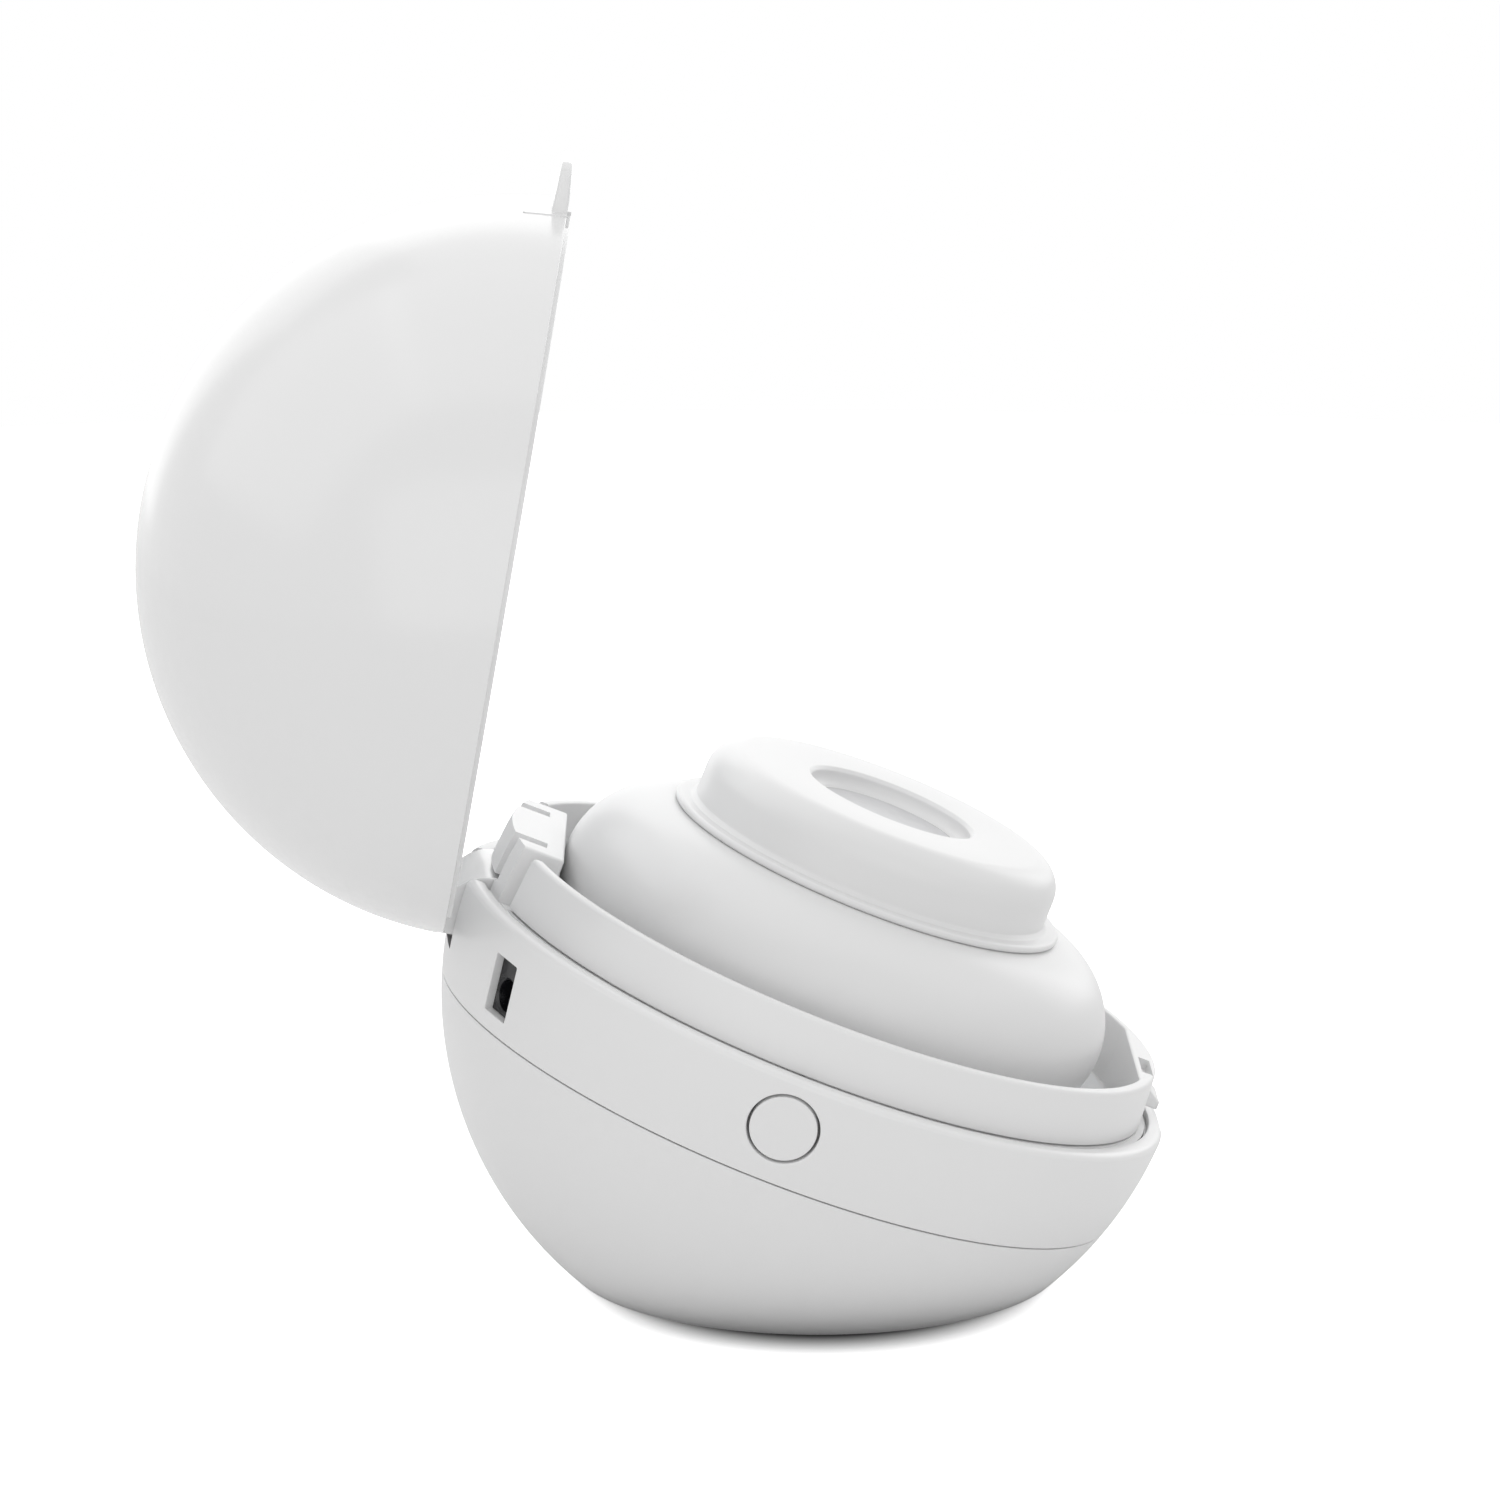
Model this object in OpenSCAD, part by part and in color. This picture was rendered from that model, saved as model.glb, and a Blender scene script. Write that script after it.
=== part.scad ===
// Ball-shaped UV steriliser case for a pacifier, shown with its lid open.
// Row frame: origin at the centre of the flat foot, +Z up, front towards -Y,
// hinge at the back (+Y), push button and charging inlet on the -X side.
// The ball frame is tilted towards the front: its Z is the normal of the rim
// plane, its Y runs up and back to the hinge, its origin is the ball's centre.

/* [Ball] */
// Outer radius of the ball
ball_r = 41; // [38:0.5:46]
// Wall of the band and of the lower shell
shell_wall = 2; // [1.6:0.1:2.4]
// Lean of the rim plane towards the front, in degrees
tilt = 21.3; // [16:0.1:26]
// Radius of the flat under the lower shell
foot_r = 27.1; // [25:0.1:29]
// Thickness of the foot pad
pad_t = 1.2; // [0.8:0.1:1.6]
// How far the foot pad stands below the shell
pad_proud = 0.3; // [0.2:0.1:0.6]
// Width of the bare ring between the foot pad and the edge of the flat
pad_margin = 2.6; // [2:0.1:6]
// Thickness of the lower shell's floor
floor_t = 2.9; // [2.4:0.1:3.6]

/* [Band] */
// Height of the band below the rim plane
band_h = 11.8; // [11:0.1:14]
// Radius of the rounded shoulder at the band's top
shoulder_r = 0.9; // [0.5:0.1:1.2]
// Width of the groove at the seam under the band
seam_gap = 0.15; // [0.1:0.05:0.3]
// Step between the band's mouth and its inner wall
mouth_step = 0.2; // [0.1:0.1:0.5]
// Width of the thumb recess at the front
thumb_w = 15; // [10:0.5:20]
// Depth of the thumb recess below the rim plane
thumb_h = 0.8; // [0.5:0.1:3]

/* [Lid] */
// How far the lid's surface lies inside the ball's
lid_step = 1; // [0:0.1:1.1]
// Wall of the lid
lid_wall = 1.2; // [1:0.1:1.3]
// Gap between the closed lid and the band
rim_gap = 0.25; // [0.2:0.05:0.5]
// Height of the lid frame's ring
ring_h = 2.8; // [2:0.1:4]
// Radial thickness of the light-blocking lip
lip_t = 0.4; // [0.3:0.05:0.5]
// How far the lip stands below the lid's edge
lip_h = 0.5; // [0.3:0.05:0.6]
// Angle between the closed lid and the open lid, in degrees
lid_open = 101.2; // [90:0.1:101.5]
// Thickness of the reflector inside the lid
reflector_t = 0.7; // [0.5:0.1:1]
// Height of the reflector's lower edge above the rim plane
reflector_n = 14; // [13.5:0.5:18]

/* [Hinge] */
// Depth of the hinge axis inside the ball's surface at the back
hinge_in = 3.9; // [3.8:0.05:4]
// Depth of the hinge axis below the rim plane
hinge_drop = 3.9; // [3.8:0.05:4.2]
// Radius of the hinge barrel on the lid
barrel_r = 4.6; // [4.3:0.05:4.7]
// Width of the hinge barrel
barrel_w = 14; // [12:0.5:16]
// Width over which the lid's edge is raised to swing past the band
relief_w = 24; // [20:0.5:26]
// Radius of the hinge pin
pin_r = 1; // [0.8:0.05:1.2]
// Length of each end of the hinge pin in its boss
pin_bite = 3; // [2:0.25:3.5]
// Radius of the pin bosses in the band
boss_r = 2.3; // [2:0.1:2.4]
// Radial clearance of the barrel on the pin
pin_fit = 0.06; // [0.03:0.01:0.09]

/* [Catch] */
// Width of the thumb tab
tab_w = 12; // [8:0.5:13]
// Reach of the thumb tab beyond the lid
tab_reach = 5; // [4:0.1:6]
// Thickness of the thumb tab at its root
tab_t = 1.7; // [1.4:0.1:2]
// Height of the latch piece that carries the tab
latch_h = 4.6; // [4.2:0.1:5]
// How far the latch piece stands proud of the lid
latch_proud = 0.1; // [0:0.05:0.5]
// Width of the catch nub on the collar
nub_w = 6; // [4:0.5:8]
// How far the catch nub stands out of the collar
nub_reach = 1.2; // [1:0.05:1.3]
// Overlap of the snap bead under the nub
snap = 0.15; // [0.05:0.05:0.2]

/* [Collar] */
// Gap between the collar and the inside of the closed lid
collar_gap = 0.6; // [0.6:0.05:0.8]
// Inward draft of the collar up to its top
collar_draft = 0.45; // [0.3:0.05:0.6]
// Wall of the collar
collar_wall = 1.6; // [1.2:0.1:2]
// Height of the collar above the rim plane
collar_h = 5.9; // [5.2:0.1:6.2]
// Rounding of the collar's outer top edge
collar_round = 0.5; // [0.4:0.1:1]
// Depth of the groove around the collar's foot
foot_groove = 0.6; // [0.2:0.05:0.7]
// Height of that groove
foot_groove_h = 0.25; // [0.15:0.05:0.3]
// Depth of the collar's shelf below the rim plane
shelf_drop = 0.8; // [0.8:0.1:1]
// Thickness of the collar's shelf
shelf_t = 1.2; // [1:0.1:1.5]
// Gap between the cover dome and the collar's shelf
shelf_gap = 0.5; // [0.3:0.1:1.5]
// Depth of the front flange's flat inner wall inside the collar
chord_in = 1.6; // [1.1:0.1:2.6]
// Width of the housing over the hinge barrel
housing_w = 23; // [22.6:0.1:25]
// Wall of the housing between the chamber and the barrel's pocket
housing_wall = 0.5; // [0.4:0.05:0.6]
// How far the gap in the collar runs past the housing on each side
housing_side = 2.5; // [2:0.1:3]
// Height of the housing above the collar's top
housing_step = 0.35; // [0.2:0.05:0.5]
// Distance between the two slots in the housing
slot_pitch = 15; // [10:0.5:17]
// Width of the two slots
slot_w = 2.2; // [1:0.1:2.4]
// Depth of the two slots
slot_deep = 1; // [0.6:0.1:1.1]

// Distance of the interlock slot from the middle, towards the button
peg_side = 3.9; // [0:0.1:4.5]
// Length of the interlock peg
peg_w = 5.4; // [1.5:0.1:5.8]

/* [Chamber] */
// How far the cover dome reaches beyond the bowl's mouth
bowl_lip = 2.1; // [1.7:0.1:3.3]
// Wall of the bowl
bowl_wall = 1.2; // [1:0.1:1.6]
// Radius of the quartz window
window_r = 9; // [7:0.5:10]
// Thickness of the quartz window
window_t = 1; // [0.8:0.1:1.2]

/* [Inner cover] */
// Gap between the cover dome and the housing
dome_gap = 0.35; // [0.3:0.05:0.8]
// Radius of the dome's round shoulder
dome_round = 9.8; // [9:0.1:10.5]
// Height of the dome's widest point above the rim plane
dome_belly = 5; // [4.5:0.1:5.5]
// Wall of the cover dome
dome_wall = 1.6; // [1.2:0.1:2]
// How far the lip under the cap reaches onto the dome's shoulder
cap_lip = 0.8; // [0.3:0.1:1.5]
// Thickness of the lip under the cap
cap_lip_t = 0.9; // [0.6:0.1:1.2]
// Width of the step between the lip and the cap
cap_step = 2; // [1.3:0.1:4]
// Height of the cap above the dome
cap_h = 7.9; // [6.7:0.1:8.2]
// Rounding of the cap's top edge
cap_round = 3.5; // [2.5:0.1:4.5]
// Radius of the recess in the cap
recess_r = 9.25; // [7:0.05:11]
// Depth of the recess in the cap
recess_h = 1.9; // [1.4:0.1:2.4]
// Rounding at the bottom of the recess
recess_round = 1.2; // [0.8:0.1:1.3]
// Travel of the inner cover as it lifts off
cover_lift = 9; // [6:0.5:9]

/* [Button] */
// Angle of the button from the -X side towards the back, in degrees
button_az = 3.5; // [-6:0.5:10]
// Depth of the button below the rim plane
button_drop = 5.7; // [5.5:0.1:6]
// Radius of the button's cap
button_r = 3.55; // [3:0.05:4]
// Gap around the button's cap
button_gap = 0.3; // [0.3:0.05:0.5]
// Travel of the button
button_travel = 0.6; // [0.3:0.1:0.8]
// Side of the push switch
switch_w = 6; // [5:0.5:6.2]

/* [Charging inlet] */
// Angle of the inlet from the -X side towards the back, in degrees
jack_az = 57; // [52:0.5:59]
// Depth of the inlet below the rim plane
jack_drop = 6.75; // [6.3:0.1:7]
// Width of the inlet's window
jack_w = 4.2; // [4:0.1:5]
// Height of the inlet's window
jack_h = 6.4; // [6:0.1:6.8]
// Depth of the inlet's face below the ball's surface
jack_deep = 1.1; // [0.8:0.1:1.5]
// Radius of the plug hole
jack_hole_r = 1.75; // [1.6:0.05:1.8]
// Depth of the plug hole
jack_hole_l = 7; // [6:0.5:7.5]
// Radius of the centre contact
jack_pin_r = 0.6; // [0.5:0.05:0.7]

/* [Electronics] */
// Radius of the main board
pcb_r = 24; // [22:0.5:24.5]
// Thickness of the boards
pcb_t = 1.6; // [1:0.1:1.6]
// Length of the switch board
switch_board_l = 15; // [14.5:0.5:15]
// How far the switch board reaches up from the button's axis
switch_board_up = 2.2; // [2:0.1:2.4]
// How far the switch board reaches down from the button's axis
switch_board_down = 5.5; // [4:0.1:5.8]
// Distance of the main board's top below the bowl
pcb_drop = 1.8; // [1.6:0.1:2]
// Width of the battery
battery_w = 28; // [22:1:28]
// Length of the battery
battery_l = 22; // [18:1:22]
// Thickness of the battery
battery_t = 5; // [4:0.5:5]
// Distance of the battery's back edge behind the foot's centre
battery_back = 20; // [18:0.5:20]
// Gap between the battery and the main board
battery_gap = 1.05; // [0.8:0.05:1.5]
// Wall of the battery tray
tray_wall = 1; // [0.8:0.1:1.2]
// Side of one lamp package
lamp_w = 3.5; // [3:0.1:4]
// Thickness of one lamp package
lamp_t = 1.4; // [1:0.1:1.5]
// Distance of the lamps from the window's axis
lamp_ring_r = 3.6; // [3:0.1:4]

/* [Screws] */
// Radius of the screws' shanks
screw_r = 0.8; // [0.7:0.05:0.9]
// Radius of the screws' heads
screw_head_r = 1.6; // [1.4:0.1:1.8]
// Radius of the screw bosses
screw_boss_r = 2.1; // [1.9:0.1:2.3]
// Bite of a screw in its boss
screw_bite = 4; // [3:0.5:4.5]

/* [Hidden] */
$fn = 96;

white = [0.93, 0.93, 0.93];
warm_white = [0.9, 0.9, 0.89];
light_grey = [0.78, 0.79, 0.8];

run = 0.3;           // usual clearance between moving pieces
seat = 0.05;         // clearance of a piece in its seat
far = 120;           // reach of a cutting block
inner_r = ball_r - shell_wall;
inside_r = ball_r - 0.4;   // bosses inside the band end here
mouth_r = inner_r + mouth_step;
ball_z = pad_proud + sqrt(pow(ball_r, 2) - pow(foot_r, 2));
pad_r = foot_r - pad_margin;
floor_z = pad_proud + floor_t;

lid_r = ball_r - lid_step;
lid_in_r = lid_r - lid_wall;
ring_out_r = lid_r - lid_wall / 2;
collar_r = lid_in_r - collar_gap;
collar_in_r = collar_r - collar_wall;
collar_top_r = collar_r - collar_draft;
lip_in_r = collar_r + run;

hinge_t = ball_r - hinge_in;
hinge_n = -hinge_drop;
notch_w = barrel_w + 2 * 0.5;
pin_l = notch_w + 2 * pin_bite;
pocket_r = barrel_r + run + seat;
notch_n = hinge_n - pocket_r;
barrel_top = hinge_n + barrel_r + 0.15;
tongue_n = hinge_n + barrel_r + 0.5;
lip_end = relief_w / 2 + 4.5;
ring_end = relief_w / 2 + 1.5;

shelf_n = -shelf_drop;
shelf_under = shelf_n - shelf_t;
moat_n = rim_gap - lip_h - run;   // floor of the channel that the lid's lip enters
housing_t = hinge_t - pocket_r - housing_wall;
housing_top = collar_h + housing_step;
housing_out_r = lid_in_r - run - seat;
chord_t = collar_in_r - chord_in;
slot_t = (chord_t + collar_r) / 2 - 0.35;
peg_t = 0.7;

latch_w = tab_w + 2;
nub_r = collar_r + nub_reach;
channel_r = nub_r + run + seat;
nub_low = 1.5;
nub_tip = 2.4;
nub_high = 3.9;

dome_r = housing_t - dome_gap;
dome_arc_r = dome_r - dome_round;
dome_top = dome_belly + dome_round;
shelf_r = dome_r + shelf_gap;
cap_lip_r = dome_arc_r + cap_lip;
cap_r = cap_lip_r - cap_step;
cap_top = dome_top + cap_h;
cap_wall = 1.6;
insert_t = 1;
insert_r = recess_r - recess_round - 2 * seat;

screw_ring_r = collar_in_r - 0.2;
screw_l = 10;
boss_low = -8.5;
screw_azs = [30, -35];
board_screw_r = 21;
board_screw_as = [30, 150, 270];

// The main board clears the battery's front edge, and the bowl clears the board
battery_top = floor_z + tray_wall + battery_t;
battery_edge_n = (battery_l - battery_back) * sin(tilt) + (battery_top - ball_z) * cos(tilt);
pcb_n = battery_edge_n + battery_gap + pcb_t;
bowl_under = pcb_n + pcb_drop;
bowl_floor = bowl_under + bowl_wall;
bowl_top = shelf_n + shelf_t;
bowl_depth = bowl_top - bowl_floor;
bowl_r = dome_r - bowl_lip;
bowl_flange_r = screw_ring_r - screw_boss_r - 0.2;
bowl_cap_r = (pow(bowl_r, 2) + pow(bowl_depth, 2)) / (2 * bowl_depth);
dome_foot = bowl_top + seat;

button_el = -asin(button_drop / ball_r);
button_back = inner_r - 1.5;
board_out = button_back - 4.9;
plunger_r = 1.7;
plunger_l = 2.4;
post_r = 1.2;
post_y = switch_board_l / 2 - 1.6;
jack_el = -asin(jack_drop / ball_r);
jack_face = ball_r - jack_deep;
jack_body_back = inner_r - 8.5;
jack_hole_drop = 0.9;
jack_front_l = 5.9;
tray_h = 2.6;
seam_n = -band_h;

// ---------- frames ----------
module in_ball() translate([0, 0, ball_z]) rotate([tilt, 0, 0]) children();

module in_lid() in_ball() translate([0, hinge_t, hinge_n])
    rotate([-lid_open, 0, 0]) translate([0, -hinge_t, -hinge_n]) children();

// Local Z points out of the ball, local X up, local Y towards the back
module on_ball(az, el) rotate([0, 0, -az]) rotate([0, el - 90, 0]) children();

// ---------- shared shapes ----------
function arc(c, r, a0, a1, n) =
    [for (i = [0:n]) let (a = a0 + (a1 - a0) * i / n) c + r * [cos(a), sin(a)]];

module lathe(points) rotate_extrude() polygon(points);

module block(low, high) translate(low) cube(high - low);

module rod_x(r, l) rotate([0, 90, 0]) cylinder(r = r, h = l, center = true);

module at_hinge() translate([0, hinge_t, hinge_n]) children();

module rounded_plan(w, l, r) {
    translate([-w / 2, 0]) square([w, l - r]);
    translate([-w / 2 + r, 0]) square([w - 2 * r, l]);
    for (s = [-1, 1]) translate([s * (w / 2 - r), l - r]) circle(r = r);
}

module screw_places() for (az = screw_azs) for (s = [0, 180])
    rotate([0, 0, s == 0 ? -az : az]) rotate([0, 0, s])
        translate([-screw_ring_r, 0, 0]) children();

module board_screw_places() for (a = board_screw_as)
    rotate([0, 0, a]) translate([board_screw_r, 0, 0]) children();

// ---------- base ----------
module lower_shell() color(white) {
    post = 1.1;
    difference() {
        intersection() {
            in_ball() sphere(r = ball_r);
            in_ball() block([-far, -far, -far], [far, far, seam_n - seam_gap]);
            block([-far, -far, pad_proud], [far, far, far]);
        }
        // the hollow above the flat floor
        intersection() {
            in_ball() sphere(r = inner_r);
            block([-far, -far, floor_z], [far, far, far]);
        }
        // pocket for the foot pad
        translate([0, 0, -1]) cylinder(r = pad_r + seat, h = 1 + pad_t + seat);
    }
    // ring that centres the band on the shell
    in_ball() difference() {
        spigot_r = sqrt(pow(inner_r, 2) - pow(seam_n, 2)) - seat;
        translate([0, 0, seam_n - 2.2]) cylinder(r = spigot_r, h = 2.2 + post);
        translate([0, 0, seam_n - 3.2])
            cylinder(r = spigot_r - post, h = 4.2 + post);
    }
}

module foot_pad() color([0.62, 0.63, 0.65]) cylinder(r = pad_r, h = pad_t);

module band_shell() color(white) in_ball() {
    shoulder_at = sqrt(pow(ball_r - shoulder_r, 2) - pow(shoulder_r, 2));
    difference() {
        union() {
            lathe(concat(
                arc([0, 0], ball_r, asin(seam_n / ball_r),
                    -atan(shoulder_r / shoulder_at), 8),
                arc([shoulder_at, -shoulder_r], shoulder_r,
                    -atan(shoulder_r / shoulder_at), 90, 6),
                [[mouth_r, 0], [mouth_r, -shoulder_r]],
                arc([0, 0], inner_r, -asin(shoulder_r / inner_r),
                    asin(seam_n / inner_r), 8)));
            // bosses that hold the hinge pin
            intersection() {
                at_hinge() rod_x(boss_r, pin_l + 1);
                sphere(r = inside_r);
            }
            // bosses under the collar
            intersection() {
                screw_places() translate([0, 0, boss_low])
                    cylinder(r = screw_boss_r, h = shelf_under - boss_low);
                sphere(r = inside_r);
            }
            // posts that carry the switch board
            intersection() {
                on_ball(button_az, button_el) for (s = [-1, 1])
                    translate([0, s * post_y, board_out])
                        cylinder(r = post_r, h = ball_r - board_out);
                sphere(r = inside_r);
            }
        }
        // notch for the hinge barrel
        block([-notch_w / 2, 0, hinge_n], [notch_w / 2, far, shoulder_r]);
        at_hinge() rod_x(pocket_r, notch_w);
        at_hinge() rod_x(pin_r + seat / 2, pin_l + seat);
        // thumb recess at the front
        thumb_cut();
        on_ball(button_az, button_el)
            translate([0, 0, inner_r - 9])
                cylinder(r = button_r + button_gap, h = far);
        on_ball(jack_az, jack_el)
            block([-jack_h / 2, -jack_w / 2, inner_r - 3], [jack_h / 2, jack_w / 2, far]);
        screw_places() {
            translate([0, 0, boss_low - 1]) cylinder(r = screw_r + 0.1, h = 12);
            translate([0, 0, boss_low - 5])
                cylinder(r = screw_head_r + 0.1, h = 5);
        }
    }
}

// Shallow scoop in the band's top edge, under the thumb tab
module thumb_cut() translate([0, -ball_r, 0])
    intersection() {
        block([-thumb_w / 2, -4, -thumb_h], [thumb_w / 2, 1.1, 2]);
        translate([0, 0, thumb_w * 1.2 - thumb_h]) rotate([90, 0, 0])
            cylinder(r = thumb_w * 1.2, h = 20, center = true);
    }

module collar() color(white) in_ball() {
    difference() {
        union() {
            difference() {
                lathe(concat(
                    [[shelf_r, shelf_n], [shelf_r, shelf_under],
                     [inner_r - 0.1, shelf_under],
                     [inner_r - 0.1, moat_n], [collar_r, moat_n],
                     [collar_r, -0.05 - foot_groove_h],
                     [collar_r - foot_groove, -0.05 - foot_groove_h],
                     [collar_r - foot_groove, -0.05], [collar_r, -0.05]],
                    arc([collar_top_r - collar_round, collar_h - collar_round],
                        collar_round, 0, 90, 5),
                    arc([collar_in_r + 0.25, collar_h - 0.25], 0.25, 90, 180, 2),
                    [[collar_in_r, shelf_n]]));
                block([-housing_w / 2 - housing_side, 0, -0.5],
                      [housing_w / 2 + housing_side, far, far]);
            }
            // front flange with its flat inner wall
            intersection() {
                cylinder(r = collar_in_r + 0.2, h = 2 * far, center = true);
                block([-far, -far, shelf_under], [far, -chord_t, collar_h]);
            }
            // housing over the hinge barrel
            intersection() {
                sphere(r = housing_out_r);
                block([-housing_w / 2, housing_t, notch_n - 0.4],
                      [housing_w / 2, far, housing_top]);
            }
            // pillars for the deck screws
            intersection() {
                screw_places() translate([0, 0, shelf_n - 0.2])
                    cylinder(r = screw_boss_r - 0.1, h = 3.2);
                cylinder(r = collar_in_r + 0.2, h = far, center = true);
            }
            catch_nub();
        }
        // pocket swept by the hinge barrel
        at_hinge() rod_x(pocket_r, notch_w);
        block([-notch_w / 2, hinge_t - 1, hinge_n], [notch_w / 2, far, tongue_n]);
        block([-notch_w / 2, hinge_t, notch_n - 0.5], [notch_w / 2, far, hinge_n]);
        at_hinge() rod_x(boss_r + run, far);
        // hollow and slots that let the housing's middle flex
        block([-notch_w / 2, housing_t + 1.4, tongue_n - 0.2],
              [notch_w / 2, hinge_t - 0.6, collar_h - 1.1]);
        for (s = [-1, 1]) {
            block([s * slot_pitch / 2 - slot_w / 2, hinge_t - 3.4,
                   housing_top - slot_deep],
                  [s * slot_pitch / 2 + slot_w / 2, far, far]);
            block([s * slot_pitch / 2 - slot_w / 2, hinge_t - 0.2, tongue_n - 0.3],
                  [s * slot_pitch / 2 + slot_w / 2, far, far]);
        }
        // slot for the lid's interlock peg
        translate([-peg_side, 0, 0])
            block([-peg_w / 2 - run - seat, -slot_t - peg_t / 2 - run, collar_h - 1.1],
                  [peg_w / 2 + run + seat, -slot_t + peg_t / 2 + run, far]);
        // room for the button and its switch
        on_ball(button_az, button_el)
            translate([0, 0, inner_r - 9]) cylinder(r = button_r + 1.4, h = far);
        screw_places() translate([0, 0, -5])
            cylinder(r = screw_r, h = screw_l + boss_low + 5.3);
    }
}

// Sloped nub that the lid's bead snaps under
module catch_nub() rotate([90, 0, 90])
    translate([0, 0, -nub_w / 2]) linear_extrude(nub_w)
        polygon([[-collar_in_r - 0.5, nub_low], [-nub_r, nub_low],
                 [-nub_r, nub_tip], [-collar_in_r - 0.5, nub_high]]);

module chamber_bowl() color(warm_white) in_ball() {
    centre_n = bowl_floor + bowl_cap_r;
    rim_a = asin((bowl_top - centre_n) / bowl_cap_r);
    out_r = bowl_cap_r + bowl_wall;
    difference() {
        union() {
            lathe(concat(
                arc([0, centre_n], bowl_cap_r, -90, rim_a, 20),
                [[bowl_flange_r, bowl_top], [bowl_flange_r, shelf_n]],
                arc([0, centre_n], out_r, asin((shelf_n - centre_n) / out_r),
                    -90, 20)));
            translate([0, 0, bowl_under])
                cylinder(r = window_r + 1.5, h = bowl_wall + window_t);
            board_screw_places() translate([0, 0, pcb_n])
                cylinder(r = screw_boss_r, h = bowl_floor + 5 - pcb_n);
        }
        translate([0, 0, bowl_under - 1]) cylinder(r = window_r - 1, h = 5);
        translate([0, 0, bowl_under + bowl_wall])
            cylinder(r = window_r + seat, h = 5);
        board_screw_places() translate([0, 0, pcb_n - 1])
            cylinder(r = screw_r, h = screw_bite + 2);
        // the room inside the bowl stays free of the posts
        translate([0, 0, centre_n]) intersection() {
            sphere(r = bowl_cap_r);
            translate([0, 0, bowl_floor + window_t - centre_n])
                cylinder(r = far, h = far);
        }
        block([-housing_w / 2 - 0.2, housing_t - 0.2, -far],
              [housing_w / 2 + 0.2, far, far]);
        screw_places() translate([0, 0, -5])
            cylinder(r = screw_boss_r + 0.1, h = 10);
    }
}

module quartz_window() color([0.75, 0.85, 0.95, 0.5]) in_ball()
    translate([0, 0, bowl_under + bowl_wall]) cylinder(r = window_r, h = window_t);

module uvc_lamps() color([0.95, 0.85, 0.45]) in_ball()
    for (a = [90, 210, 330]) rotate([0, 0, a]) translate([lamp_ring_r, 0, pcb_n])
        block([-lamp_w / 2, -lamp_w / 2, 0], [lamp_w / 2, lamp_w / 2, lamp_t]);

module main_board() color([0.12, 0.4, 0.22]) in_ball() difference() {
    translate([0, 0, pcb_n - pcb_t]) cylinder(r = pcb_r, h = pcb_t);
    board_screw_places() translate([0, 0, pcb_n - pcb_t - 1])
        cylinder(r = screw_r + 0.1, h = pcb_t + 2);
}

// Round-headed screw, head down, shank up from the origin
module screw(l) {
    translate([0, 0, -1]) cylinder(r = screw_head_r, h = 1);
    translate([0, 0, -0.1]) cylinder(r = screw_r - seat, h = l + 0.1);
}

module board_screws() color([0.7, 0.71, 0.73]) in_ball()
    board_screw_places() translate([0, 0, pcb_n - pcb_t]) screw(pcb_t + screw_bite);

module deck_screws() color([0.7, 0.71, 0.73]) in_ball()
    screw_places() translate([0, 0, boss_low]) screw(screw_l);

module battery() color([0.55, 0.6, 0.7])
    block([-battery_w / 2, battery_back - battery_l, floor_z + tray_wall],
          [battery_w / 2, battery_back, battery_top]);

module battery_tray() color([0.25, 0.26, 0.28]) difference() {
    gap = 0.1;
    block([-battery_w / 2 - tray_wall - gap,
           battery_back - battery_l - tray_wall - gap, floor_z],
          [battery_w / 2 + tray_wall + gap, battery_back + tray_wall + gap,
           floor_z + tray_wall + tray_h]);
    block([-battery_w / 2 - gap, battery_back - battery_l - gap,
           floor_z + tray_wall],
          [battery_w / 2 + gap, battery_back + gap, far]);
}

// ---------- charging inlet ----------
module charging_inlet() color([0.08, 0.08, 0.09]) in_ball()
    on_ball(jack_az, jack_el) difference() {
        union() {
            block([-jack_h / 2 + seat, -jack_w / 2 + seat, jack_face - jack_front_l],
                  [jack_h / 2 - seat, jack_w / 2 - seat, jack_face]);
            block([-jack_h / 2 - 0.6, -jack_w / 2 - 1, jack_body_back],
                  [jack_h / 2 - 0.3, jack_w / 2 + 1, inner_r - 0.9]);
        }
        translate([-jack_hole_drop, 0, jack_face - jack_hole_l])
            cylinder(r = jack_hole_r, h = far);
    }

module inlet_contact() color([0.85, 0.85, 0.87]) in_ball()
    on_ball(jack_az, jack_el)
        translate([-jack_hole_drop, 0, jack_face - jack_hole_l])
            cylinder(r = jack_pin_r, h = jack_hole_l - 1.2);

// ---------- button ----------
module button_cap() color(white) in_ball() intersection() {
    on_ball(button_az, button_el) {
        translate([0, 0, button_back]) cylinder(r = button_r, h = 8);
        translate([0, 0, button_back]) cylinder(r = button_r + 0.75, h = 0.9);
    }
    sphere(r = ball_r - 0.1);
}

module switch_plunger() color([0.12, 0.12, 0.13]) in_ball()
    on_ball(button_az, button_el) translate([0, 0, button_back - plunger_l])
        cylinder(r = plunger_r, h = plunger_l);

module push_switch() color([0.3, 0.31, 0.33]) in_ball()
    on_ball(button_az, button_el) difference() {
        top = button_back - button_travel - 0.7;
        block([-switch_w / 2, -switch_w / 2, board_out],
              [switch_w / 2, switch_w / 2, top]);
        translate([0, 0, button_back - plunger_l - button_travel - run])
            cylinder(r = plunger_r + 0.1, h = far);
    }

module switch_board() color([0.12, 0.4, 0.22]) in_ball()
    on_ball(button_az, button_el)
        block([-switch_board_down, -switch_board_l / 2, board_out - 1],
              [switch_board_up, switch_board_l / 2, board_out]);

module lid_sensor() color([0.1, 0.1, 0.11]) in_ball()
    block([-peg_side - 2, -slot_t - 0.25, shelf_under - 1.6],
          [-peg_side + 2, -slot_t + 2.75, shelf_under]);

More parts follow.
